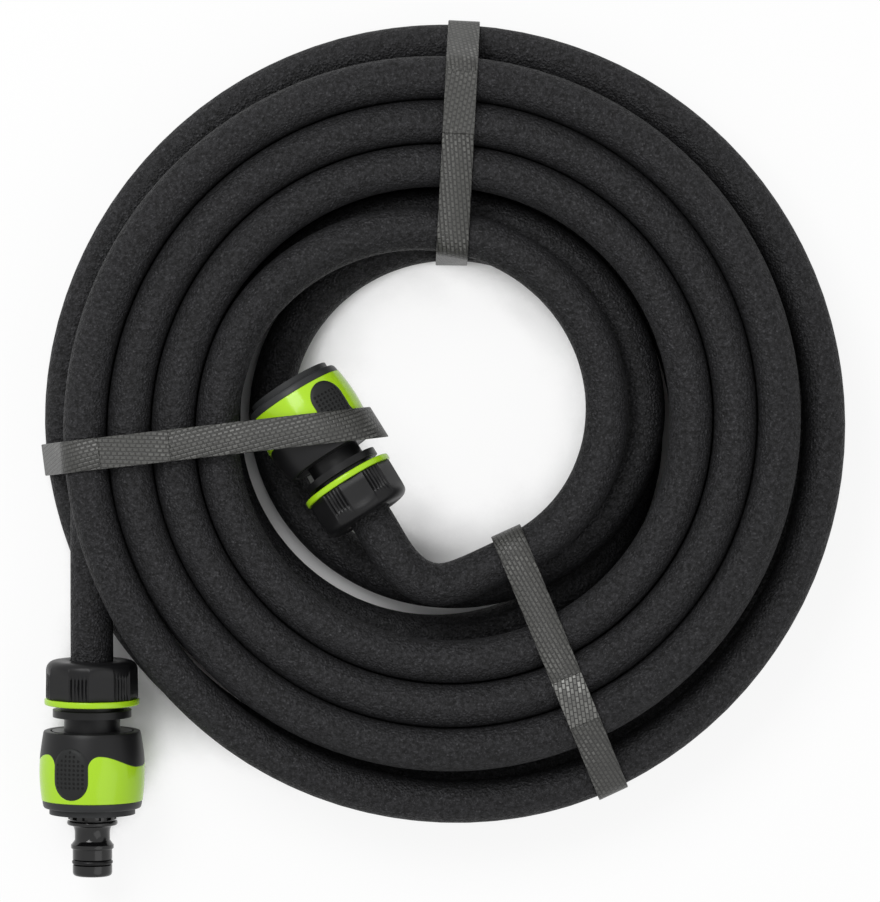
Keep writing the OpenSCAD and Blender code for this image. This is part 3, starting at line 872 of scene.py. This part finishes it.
@dataclass(frozen=True)
class SleeveSizes:
    """The sliding sleeve, in millimetres from the nut's rear face."""

    rear: float = 25.5
    length: float = 28.2
    rear_r: float = 17.6
    mid_r: float = 19.2
    front_r: float = 18.0
    bore: float = 14.95
    rim: float = 2.8

    @property
    def centre(self) -> float:
        """The middle of the sleeve."""
        return self.rear + self.length / 2

    @property
    def front(self) -> float:
        """The sleeve's front edge."""
        return self.rear + self.length

    def radius(self, z: float) -> float:
        """Gives the barrel's outer radius at z."""
        s = (z - self.rear) / self.length
        swell = self.mid_r - (self.rear_r + self.front_r) / 2
        return mix(self.rear_r, self.front_r, s) + swell * math.sin(math.pi * s)


@dataclass(frozen=True)
class PadSizes:
    """A grip pad, in millimetres."""

    width: float = 13.5
    length: float = 19.0
    proud: float = 0.2
    centre: float = 39.9
    inset: float = 0.55
    rings: int = 9


def turned(name: str, profile: Profile, sides: int, place: ConnectorPlace) -> bpy.types.Object:
    """Turns a closed outline about a connector's axis: one ring, extruded from point to point.

    Args:
        name: The piece's name.
        profile: Radii and heights in millimetres, in order round the outline.
        sides: Corners of a ring.
        place: The connector that the piece belongs to.

    Returns:
        The piece, still in the connector's own axes.
    """
    bpy.ops.object.select_all(action="DESELECT")
    radius, z = profile[0]
    bpy.ops.mesh.primitive_circle_add(vertices=sides, radius=radius * MM, calc_uvs=False)
    piece = bpy.context.object
    piece.name = f"{place.which.value}_{name}"
    bpy.ops.object.mode_set(mode="EDIT")
    bpy.ops.mesh.select_all(action="SELECT")
    bpy.ops.transform.translate(value=(0, 0, z * MM))
    for next_radius, next_z in [*profile[1:], profile[0]]:
        bpy.ops.mesh.extrude_region_move(TRANSFORM_OT_translate={"value": (0, 0, (next_z - z) * MM)})
        scale = next_radius / radius
        bpy.ops.transform.resize(value=(scale, scale, 1), center_override=(0, 0, next_z * MM))
        radius, z = next_radius, next_z
    bpy.ops.mesh.select_all(action="SELECT")
    bpy.ops.mesh.remove_doubles(threshold=0.002 * MM)
    bpy.ops.mesh.normals_make_consistent(inside=False)
    bpy.ops.object.mode_set(mode="OBJECT")
    return piece


def reshape(piece: bpy.types.Object, rule) -> None:
    """Moves each corner in or out.

    Args:
        piece: The turned piece, in the connector's axes.
        rule: Gives the new radius for an angle in degrees, a height and a radius in millimetres.
    """
    for corner in piece.data.vertices:
        x, y, z = (v / MM for v in corner.co)
        radius = math.hypot(x, y)
        new = rule(math.degrees(math.atan2(y, x)), z, radius)
        corner.co.x *= new / radius
        corner.co.y *= new / radius


def lay_uv(piece: bpy.types.Object, turn: float) -> None:
    """Maps a turned piece: degrees from the first pad along U, millimetres from the nut's face along V.

    Args:
        piece: The turned piece, in the connector's axes.
        turn: Where the first pad's middle lies, in degrees.
    """
    layer = piece.data.uv_layers.new(name="barrel_uv")
    for polygon in piece.data.polygons:
        middle = math.degrees(math.atan2(polygon.center.y, polygon.center.x)) - turn
        for loop, number in zip(polygon.loop_indices, polygon.vertices):
            corner = piece.data.vertices[number].co
            angle = math.degrees(math.atan2(corner.y, corner.x)) - turn
            angle += 360 * round((middle - angle) / 360)
            layer.data[loop].uv = (angle, corner.z / MM)


def settle(piece: bpy.types.Object, place: ConnectorPlace, sharp: float = 35.0) -> None:
    """Puts a modelled piece into its place in the frame and shades it.

    Args:
        piece: The piece, in the connector's axes.
        place: The connector's place.
        sharp: Edges steeper than this many degrees stay crisp.
    """
    piece.data.transform(place.matrix @ piece.matrix_world)
    piece.matrix_world = Matrix.Identity(4)
    bpy.ops.object.select_all(action="DESELECT")
    piece.select_set(True)
    bpy.context.view_layer.objects.active = piece
    bpy.ops.object.shade_smooth_by_angle(angle=math.radians(sharp))


@dataclass(frozen=True)
class TwoToneSleeve:
    """Black sleeve with a lime band let in, whose rear edge waves and dips in a tongue under each pad."""

    name: str = "two_tone_sleeve_abs"
    black: str = "#171718"
    lime: str = "#a9d822"
    rim: str = "#2c2d2e"
    crest: float = 33.3
    trough: float = 37.8
    crest_angle: float = 33.0
    trough_angle: float = 84.0
    dirt: str = "#23260f"
    soft: float = 0.12
    crisp: float = 0.05
    seam: float = 0.22

    def make(self) -> bpy.types.Material:
        """Builds the material, on the piece's UV map of degrees and millimetres."""
        pad, sleeve = PadSizes(), SleeveSizes()
        material, tree = new_material(self.name)
        spot = add_node(tree, "SeparateXYZ", {0: add_node(tree, "UVMap")})
        along = spot.outputs[1]
        # Degrees from the nearer of the two pads
        positive = add_node(tree, "Math", {0: spot, 1: 720.0}, operation="ADD")
        away = add_node(tree, "Math", {0: positive, 1: 90.0}, operation="PINGPONG")
        wave = add_node(tree, "MapRange", {
            "Value": away, "From Min": self.crest_angle, "From Max": self.trough_angle,
            "To Min": self.crest, "To Max": self.trough,
        }, interpolation_type="SMOOTHSTEP")
        # The crest rounds off towards the pad in a quarter of an oval
        near = add_node(tree, "MapRange", {
            "Value": away, "From Min": self.crest_angle,
            "From Max": math.degrees(pad.width / 2 / sleeve.mid_r),
        })
        squared = add_node(tree, "Math", {0: near, 1: 2.0}, operation="POWER")
        left = add_node(tree, "Math", {0: 1.0, 1: squared}, operation="SUBTRACT")
        arc = add_node(tree, "Math", {0: left}, operation="SQRT")
        drop = add_node(tree, "Math", {0: 1.0, 1: arc}, operation="SUBTRACT")
        fall = add_node(tree, "Math", {0: drop, 1: self.trough - self.crest}, operation="MULTIPLY")
        edge = add_node(tree, "Math", {0: wave, 1: fall}, operation="ADD")
        in_front = add_node(tree, "Math", {0: along, 1: edge}, operation="SUBTRACT")
        # Millimetres outside the oval of the pad
        beside = add_node(tree, "Math", {0: away, 1: math.radians(1) * sleeve.mid_r}, operation="MULTIPLY")
        oval_end = pad.centre + (pad.length - pad.width) / 2
        beyond = add_node(tree, "Math", {0: along, 1: oval_end}, operation="SUBTRACT")
        past = add_node(tree, "Math", {0: beyond, 1: 0.0}, operation="MAXIMUM")
        square = [add_node(tree, "Math", {0: leg, 1: 2.0}, operation="POWER") for leg in (beside, past)]
        total = add_node(tree, "Math", {0: square[0], 1: square[1]}, operation="ADD")
        reach = add_node(tree, "Math", {0: total}, operation="SQRT")
        from_pad = add_node(tree, "Math", {0: reach, 1: pad.width / 2}, operation="SUBTRACT")
        rim_z = sleeve.front - sleeve.rim
        behind = add_node(tree, "Math", {0: rim_z, 1: along}, operation="SUBTRACT")
        both = add_node(tree, "Math", {0: in_front, 1: from_pad}, operation="MINIMUM")
        inside = add_node(tree, "Math", {0: both, 1: behind}, operation="MINIMUM")
        band = add_node(tree, "MapRange", {"Value": inside, "From Min": -self.soft, "From Max": self.soft})
        front = add_node(tree, "MapRange", {
            "Value": along, "From Min": rim_z - self.crisp, "From Max": rim_z + self.crisp,
        })
        # A moulding line where the two plastics meet
        off_line = add_node(tree, "Math", {0: inside}, operation="ABSOLUTE")
        seam = add_node(tree, "MapRange", {
            "Value": off_line, "From Min": 0.0, "From Max": self.seam,
        }, interpolation_type="SMOOTHSTEP")
        shell = add_node(tree, "Mix", {0: front, 6: srgb(self.black), 7: srgb(self.rim)}, data_type="RGBA")
        colour = add_node(
            tree, "Mix", {0: band, 6: shell.outputs[2], 7: srgb(self.lime)}, data_type="RGBA"
        )
        dirt = add_node(tree, "MapRange", {"Value": seam, "To Min": 0.45, "To Max": 0.0})
        worn_and_glint = add_node(
            tree, "Mix", {0: dirt, 6: colour.outputs[2], 7: srgb(self.dirt)}, data_type="RGBA"
        )
        grain = add_node(tree, "TexNoise", {
            "Vector": add_node(tree, "TexCoord").outputs["Object"], "Scale": 1 / (0.25 * MM), "Detail": 2.0,
        })
        satin = add_node(tree, "MapRange", {"Value": band, "To Min": 0.4, "To Max": 0.2})
        height = add_node(tree, "Math", {0: grain, 1: 0.06, 2: seam}, operation="MULTIPLY_ADD")
        bump = add_node(tree, "Bump", {"Height": height, "Distance": 0.12 * MM, "Strength": 0.8})
        shader = add_node(tree, "BsdfPrincipled", {
            "Base Color": worn_and_glint.outputs[2], "Roughness": satin, "IOR": 1.5, "Specular IOR Level": 0.22,
            "Coat Weight": add_node(tree, "Math", {0: band, 1: 0.25}, operation="MULTIPLY"),
            "Coat Roughness": 0.1, "Normal": bump,
        })
        add_node(tree, "OutputMaterial", {"Surface": shader})
        return material


@dataclass(frozen=True)
class DimpledGrip:
    """Soft grip with rows of small round pits that start in a point at the pad's rear."""

    name: str = "dimpled_thermoplastic_rubber"
    colour: str = "#1f2020"
    pit_shade: str = "#050505"
    step: float = 1.62
    pit_r: float = 0.4

    def make(self) -> bpy.types.Material:
        """Builds the material, on the pad's UV map in millimetres from its middle."""
        material, tree = new_material(self.name)
        spot = add_node(tree, "SeparateXYZ", {0: add_node(tree, "UVMap")})
        steps, squares = [], []
        for place in spot.outputs[:2]:
            step = add_node(tree, "Math", {0: place, 1: self.step}, operation="DIVIDE")
            shifted = add_node(tree, "Math", {0: step, 1: 20.5}, operation="ADD")
            share = add_node(tree, "Math", {0: shifted}, operation="FRACT")
            off = add_node(tree, "Math", {0: share, 1: 0.5}, operation="SUBTRACT")
            steps.append(add_node(tree, "Math", {0: step}, operation="ROUND"))
            squares.append(add_node(tree, "Math", {0: off, 1: 2.0}, operation="POWER"))
        total = add_node(tree, "Math", {0: squares[0], 1: squares[1]}, operation="ADD")
        apart = add_node(tree, "Math", {0: total}, operation="SQRT")
        from_pit = add_node(tree, "Math", {0: apart, 1: self.step}, operation="MULTIPLY")
        # Rows of one, three, five and then seven pits, from the pad's rear forwards
        wide = add_node(tree, "Math", {0: steps[0]}, operation="ABSOLUTE")
        row = add_node(tree, "Math", {0: steps[1], 1: 5.4}, operation="ADD")
        reach = add_node(tree, "Math", {0: row, 1: 0.2}, operation="ADD")
        most = add_node(tree, "Math", {0: reach, 1: 3.5}, operation="MINIMUM")
        in_row = add_node(tree, "Math", {0: wide, 1: most}, operation="LESS_THAN")
        after = add_node(tree, "Math", {0: row, 1: 0.0}, operation="GREATER_THAN")
        before = add_node(tree, "Math", {0: row, 1: 8.8}, operation="LESS_THAN")
        between = add_node(tree, "Math", {0: after, 1: before}, operation="MULTIPLY")
        rows = add_node(tree, "Math", {0: in_row, 1: between}, operation="MULTIPLY")
        hollow = add_node(tree, "MapRange", {
            "Value": from_pit, "From Min": self.pit_r - 0.12, "From Max": self.pit_r + 0.12,
            "To Min": 1.0, "To Max": 0.0,
        })
        pits = add_node(tree, "Math", {0: rows, 1: hollow}, operation="MULTIPLY")
        grain = add_node(tree, "TexNoise", {
            "Vector": add_node(tree, "TexCoord").outputs["Object"], "Scale": 1 / (0.35 * MM), "Detail": 2.0,
        })
        rough = add_node(tree, "Math", {0: grain, 1: 0.08}, operation="MULTIPLY")
        height = add_node(tree, "Math", {0: rough, 1: pits}, operation="SUBTRACT")
        bump = add_node(tree, "Bump", {"Height": height, "Distance": 0.4 * MM, "Strength": 0.9})
        # The pits are painted darker than the pad: painted shade in the hollows
        colour = add_node(tree, "Mix", {0: pits, 6: srgb(self.colour), 7: srgb(self.pit_shade)}, data_type="RGBA")
        shader = add_node(tree, "BsdfPrincipled", {
            "Base Color": colour.outputs[2], "Roughness": 0.5, "Specular IOR Level": 0.2, "Normal": bump,
        })
        add_node(tree, "OutputMaterial", {"Surface": shader})
        return material


@dataclass
class HoseConnector:
    """One connector's visible skin: nut, ring, sleeve and two grip pads, over the body left as it is."""

    place: ConnectorPlace
    pad_turn: float
    nut_turn: float
    nut_sizes: NutSizes = NutSizes()
    sleeve_sizes: SleeveSizes = SleeveSizes()
    pad_sizes: PadSizes = PadSizes()

    @property
    def key(self) -> str:
        """The word that starts the connector's node names."""
        return self.place.which.value

    def nut(self, paints: Paints) -> None:
        """Turns the nut, then presses in its flats and the grooves between them."""
        n = self.nut_sizes
        outline: Profile = [(n.hole, n.wall - 0.4), (n.hole, 0.4), (n.hole + 0.4, 0.0)]
        for i in range(9):
            a = math.radians(i * 90 / 8)
            outline.append((n.radius - n.rounding * (1 - math.sin(a)), n.rounding * (1 - math.cos(a))))
        outline += [(n.radius, n.groove_start + 0.7 * i) for i in range(3)]
        outline += [(n.radius + 0.05, 8.5), (n.radius + 0.1, 11.0), (n.radius + 0.1, n.length - 0.35),
                    (n.radius - 0.2, n.length), (n.cavity, n.length), (n.cavity, n.wall)]
        piece = turned("nut_skin", outline, 360, self.place)
        reshape(piece, self.nut_rule)
        self.finish(piece, paints, BLACK_ABS, f"{self.key}_nut", ("nut",), 50)

    def nut_rule(self, angle: float, z: float, radius: float) -> float:
        """Gives the nut's radius at one corner."""
        n = self.nut_sizes
        if radius < n.cavity + 1 or z < 0.8:
            return radius
        period = 360 / n.flats
        from_flat = (angle + self.nut_turn + period / 2) % period - period / 2
        from_groove = (angle + self.nut_turn) % period - period / 2
        share = min(1.0, max(0.0, (z - 1.5) / 2.5))
        if abs(from_flat) <= n.flat_half:
            flat = radius * math.cos(math.radians(n.flat_half)) / math.cos(math.radians(from_flat))
            return mix(radius, flat + 0.15, share)
        deep = min(1.0, max(0.0, (z - n.groove_start) / 1.2))
        if z > n.length - 0.6 or abs(from_groove) > n.groove_half:
            deep = 0.0
        wave = (0.5 + 0.5 * math.cos(2 * math.pi * from_groove / n.groove_step)) ** 1.8
        return radius - 0.25 * share - n.groove_depth * deep * wave

    def ring(self, paints: Paints) -> None:
        """Turns the coloured ring with rounded edges."""
        n = self.nut_sizes
        r, rear, front = n.ring_r, n.length, n.length + n.ring_len
        outline = [(n.ring_bore, rear + 0.02), (r - 0.35, rear + 0.02), (r - 0.08, rear + 0.15),
                   (r, rear + 0.45), (r, front - 0.5), (r - 0.12, front - 0.15), (r - 0.5, front),
                   (n.ring_bore, front)]
        piece = turned("nut_ring_skin", outline, 128, self.place)
        self.finish(piece, paints, LIME_ABS, f"{self.key}_nut", ("nut_ring",), 60)

    def sleeve(self, paints: Paints) -> None:
        """Turns the barrel-shaped sleeve and maps it for its two colours."""
        s = self.sleeve_sizes
        line = s.front - s.rim
        outline: Profile = [(s.bore, s.rear + 1.2), (s.bore + 0.15, s.rear + 0.25), (s.bore + 0.5, s.rear),
                            (s.rear_r - 0.6, s.rear), (s.rear_r - 0.12, s.rear + 0.2)]
        outline += [(s.radius(z), z) for z in (s.rear + 0.7 + 1.18 * i for i in range(21))]
        outline += [(s.radius(line - 0.08), line - 0.08), (s.radius(line) - 0.25, line),
                    (s.radius(line + 0.08) - 0.25, line + 0.08), (s.radius(line + 1.2) - 0.2, line + 1.2),
                    (s.front_r - 0.25, s.front - 0.5), (s.front_r - 0.55, s.front - 0.12),
                    (s.front_r - 1.0, s.front), (s.bore + 0.75, s.front), (s.bore, s.front - 0.8)]
        piece = turned("sleeve_skin", outline, 192, self.place)
        lay_uv(piece, self.pad_turn)
        self.finish(piece, paints, TwoToneSleeve(), f"{self.key}_sleeve", ("sleeve", "sleeve_band"), 40)

    def pads(self, paints: Paints) -> None:
        """Makes the two crowned oval pads: circles stretched, inset ring by ring and wrapped on the barrel."""
        p = self.pad_sizes
        made = []
        for side in (0, 180):
            bpy.ops.object.select_all(action="DESELECT")
            bpy.ops.mesh.primitive_circle_add(
                vertices=96, radius=p.width / 2 * MM, fill_type="NGON", calc_uvs=False)
            piece = bpy.context.object
            stretch = (p.length - p.width) / 2 * MM
            for corner in piece.data.vertices:
                corner.co.y += math.copysign(stretch, corner.co.y) if abs(corner.co.y) > 1e-7 else 0.0
            bpy.ops.object.mode_set(mode="EDIT")
            bpy.ops.mesh.select_all(action="SELECT")
            for _ in range(p.rings):
                bpy.ops.mesh.inset(thickness=p.inset * MM)
            bpy.ops.mesh.poke()
            bpy.ops.mesh.select_all(action="SELECT")
            bpy.ops.mesh.extrude_region_move(TRANSFORM_OT_translate={"value": (0, 0, 0)})
            bpy.ops.object.mode_set(mode="OBJECT")
            layer = piece.data.uv_layers.new(name="pad_uv")
            flat = [corner.co.copy() for corner in piece.data.vertices]
            for polygon in piece.data.polygons:
                for loop, number in zip(polygon.loop_indices, polygon.vertices):
                    layer.data[loop].uv = (flat[number].x / MM, flat[number].y / MM)
            self.wrap(piece, side, flat)
            made.append(piece)
        bpy.ops.object.select_all(action="DESELECT")
        for piece in made:
            piece.select_set(True)
        bpy.context.view_layer.objects.active = made[0]
        bpy.ops.object.join()
        both = bpy.context.object
        both.name = f"{self.key}_pad_skin"
        self.finish(both, paints, DimpledGrip(), f"{self.key}_sleeve", ("grip_pads",), 60)

    def wrap(self, piece: bpy.types.Object, side: float, flat: list[Vector]) -> None:
        """Lays a flat pad round the barrel, with a crown and a sunk underside.

        Args:
            piece: The pad, whose last half of corners is the raised side.
            side: Which side of the barrel it lies on, in degrees.
            flat: Its corners before the wrap.
        """
        p, s = self.pad_sizes, self.sleeve_sizes
        straight = (p.length - p.width) / 2
        for number, corner in enumerate(piece.data.vertices):
            x, y = flat[number].x / MM, flat[number].y / MM
            inside = p.width / 2 - math.hypot(x, max(0.0, abs(y) - straight))
            z = p.centre + y
            lift = p.proud + 0.28 * smooth(min(1.0, inside / 1.3)) if number >= len(flat) // 2 else -0.8
            radius = s.radius(z) + (lift if inside > 0.02 or lift < 0 else 0.05)
            angle = math.radians(self.pad_turn + side) + x / s.mid_r
            corner.co = Vector((radius * math.cos(angle), radius * math.sin(angle), z)) * MM
        bpy.ops.object.mode_set(mode="EDIT")
        bpy.ops.mesh.select_all(action="SELECT")
        bpy.ops.mesh.normals_make_consistent(inside=False)
        bpy.ops.object.mode_set(mode="OBJECT")

    def finish(self, piece: bpy.types.Object, paints: Paints, finish, body: str, nodes: tuple[str, ...],
               sharp: float) -> None:
        """Settles a piece, paints it, ties it to its body and hides the nodes that it stands for.

        Args:
            piece: The modelled piece.
            paints: The finishes.
            finish: The finish that it takes.
            body: The body that it rides on.
            nodes: The nodes that it stands for, without the connector's word.
            sharp: Edges steeper than this many degrees stay crisp.
        """
        settle(piece, self.place, sharp)
        paints.dress(piece, finish)
        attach(piece, body)
        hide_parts(*(f"{self.key}_{node}" for node in nodes))

    def build(self, paints: Paints) -> None:
        """Builds the whole skin."""
        self.nut(paints)
        self.ring(paints)
        self.sleeve(paints)
        self.pads(paints)
        log.info("%s connector ready", self.key)


@dataclass
class HosePlug:
    """The glossy double-ended plug: a notched flange, hollow neck, shoulder ring and grooved nose."""

    place: ConnectorPlace
    flange_z: float = 56.0
    flange_len: float = 4.0
    flange_r: float = 9.2
    neck_r: float = 6.4
    shoulder_r: float = 7.8
    nose_r: float = 7.2
    bore: float = 4.0
    notches: int = 12

    def rule(self, angle: float, z: float, radius: float) -> float:
        """Cuts the notches into the flange's rear half."""
        if radius < self.flange_r - 1.2 or z > self.flange_z + 1.9:
            return radius
        notch = (angle * self.notches / 360) % 1
        return radius - (1.3 if 0.3 < notch < 0.7 else 0.0)

    def half(self) -> Profile:
        """Draws one half of the plug: radii, and heights from the flange's face."""
        steps = 10
        turns = [math.pi / 2 * i / steps for i in range(steps + 1)]
        fillet = [(mix(self.flange_r - 1.2, self.neck_r, math.sin(a) ** 0.8), 3.2 * (1 - math.cos(a)))
                  for a in turns]
        neck, ring, nose = self.neck_r, self.shoulder_r, self.nose_r
        return [*fillet, (neck, 5.4), (neck + 0.3, 5.9), (ring - 0.35, 6.9), (ring - 0.05, 7.15), (ring, 7.5),
                (ring, 8.3), (ring - 0.15, 8.6), (nose, 8.85), (nose, 12.45), (nose - 0.2, 12.55),
                (nose - 1.5, 12.6), (nose - 1.5, 14.5), (nose - 0.2, 14.55), (nose, 14.7), (nose, 17.2),
                (nose - 0.12, 17.9), (nose - 0.5, 18.4), (nose - 1.1, 18.65), (self.bore + 0.4, 18.7),
                (self.bore, 18.3)]

    def build(self, paints: Paints) -> None:
        """Turns the whole plug: the half in the socket, the flange and the half that stands out."""
        f, r = self.flange_z, self.flange_r
        face = f + self.flange_len
        flange: Profile = [(r - 1.0, f + 0.02), (r - 0.4, f + 0.15), (r - 0.4, f + 1.8), (r - 1.3, f + 2.0),
                           (r - 1.3, f + 2.3), (r - 0.2, f + 2.5), (r, f + 2.8), (r, f + 3.5),
                           (r - 0.3, f + 3.9)]
        half = self.half()
        inner = [(radius, f - h) for radius, h in reversed(half)]
        outline = [*inner, *flange, *((radius, face + h) for radius, h in half)]
        piece = turned("plug_skin", outline, 240, self.place)
        reshape(piece, self.rule)
        settle(piece, self.place, 40)
        paints.dress(piece, GLOSS_PLUG)
        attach(piece, "plug")
        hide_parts("outer_plug")


def dress_cad(paints: Paints) -> None:
    """Gives every CAD node its material slot's finish."""
    slots = {s["node"]: s["material_slot"] for s in frame["record"]["subparts"]}
    for name, node in frame["nodes"].items():
        finish = DARK_RIM if name.endswith("end_ring") else FINISH_OF_SLOT[slots[name]]
        paints.dress(node, finish)
    log.info("dressed %d nodes", len(frame["nodes"]))


# ---------------------------------------------------------------- the studio


@dataclass
class Studio:
    """Floor, lamps, world and camera."""

    floor_size: float = 6.0
    camera_height: float = 4.0
    camera_x: float = -1.1 * MM
    camera_y: float = -9.5 * MM
    focal: float = 437.5
    sensor: float = 36.0
    ambient: float = 0.55

    def camera(self) -> None:
        """Looks straight down, from over the pile's middle."""
        data = bpy.data.cameras.new("camera")
        data.lens = self.focal
        data.sensor_width = self.sensor
        data.sensor_fit = "AUTO"
        data.clip_end = 20
        camera = bpy.data.objects.new("camera", data)
        camera.location = (COIL_CENTRE.x + self.camera_x, COIL_CENTRE.y + self.camera_y, self.camera_height)
        bpy.context.scene.collection.objects.link(camera)
        bpy.context.scene.camera = camera

    def lamp(self, name: str, place: Point, size: float, power: float) -> None:
        """Hangs a square lamp that looks at the pile.

        Args:
            name: The lamp's name.
            place: Where it hangs, in metres.
            size: The length of its sides.
            power: Its power in watts.
        """
        data = bpy.data.lights.new(name, "AREA")
        data.shape = "SQUARE"
        data.size = size
        data.energy = power
        lamp = bpy.data.objects.new(name, data)
        lamp.location = place
        lamp.rotation_euler = (-Vector(place)).to_track_quat("-Z", "Y").to_euler()
        bpy.context.scene.collection.objects.link(lamp)

    def floor(self, paints: Paints) -> None:
        """Lays the paper sweep."""
        half = self.floor_size / 2
        low = -0.2 * MM
        floor = mesh_piece(
            "floor",
            [Vector((x, y, low)) for x, y in ((-half, -half), (half, -half), (half, half), (-half, half))],
            [[0, 1, 2, 3]],
        )
        paints.dress(floor, PaperSweep())

    def world(self) -> None:
        """Lights the room evenly, and shows white to the camera and in gloss."""
        world = bpy.data.worlds.new("studio")
        world.use_nodes = True
        tree = world.node_tree
        tree.nodes.clear()
        also = white_seen(tree)
        strength = add_node(tree, "MapRange", {"Value": also, "To Min": self.ambient, "To Max": 1.0})
        sky = add_node(tree, "Background", {"Color": (1, 1, 1, 1), "Strength": strength})
        add_node(tree, "OutputWorld", {"Surface": sky})
        bpy.context.scene.world = world

    def build(self, paints: Paints) -> None:
        """Sets up the whole studio."""
        self.floor(paints)
        self.world()
        self.lamp("key", (-0.7, 0.8, 1.5), size=0.9, power=18.0)
        self.lamp("fill", (0.9, -0.6, 1.4), size=1.2, power=4.0)
        bpy.context.scene.view_settings.view_transform = "Standard"
        log.info("studio ready")


def main() -> None:
    """Builds every piece in order."""
    logging.basicConfig(level=logging.INFO)
    bpy.ops.object.select_all(action="DESELECT")
    paints = Paints()
    studio = Studio()
    studio.camera()
    hose = Hose()
    hose.build(paints)
    for tape in (
        Tape("top", 87.0, 0.0, hose, weld=(105.0, 128.0)),
        Tape("left", 186.5, -3.7, hose, round_sleeve=True, weld=(99.0, 124.5)),
        Tape("lower", 292.4, 6.3, hose, bright_weld=True, weld=(101.5, 119.0)),
    ):
        tape.build(paints)
        tape.lap(paints)
    dress_cad(paints)
    for connector in (HoseConnector(OUTER_PLACE, 113.0, 104.0), HoseConnector(INNER_PLACE, 212.0, 236.0)):
        connector.build(paints)
    HosePlug(OUTER_PLACE).build(paints)
    studio.build(paints)


if __name__ == "__main__":
    main()
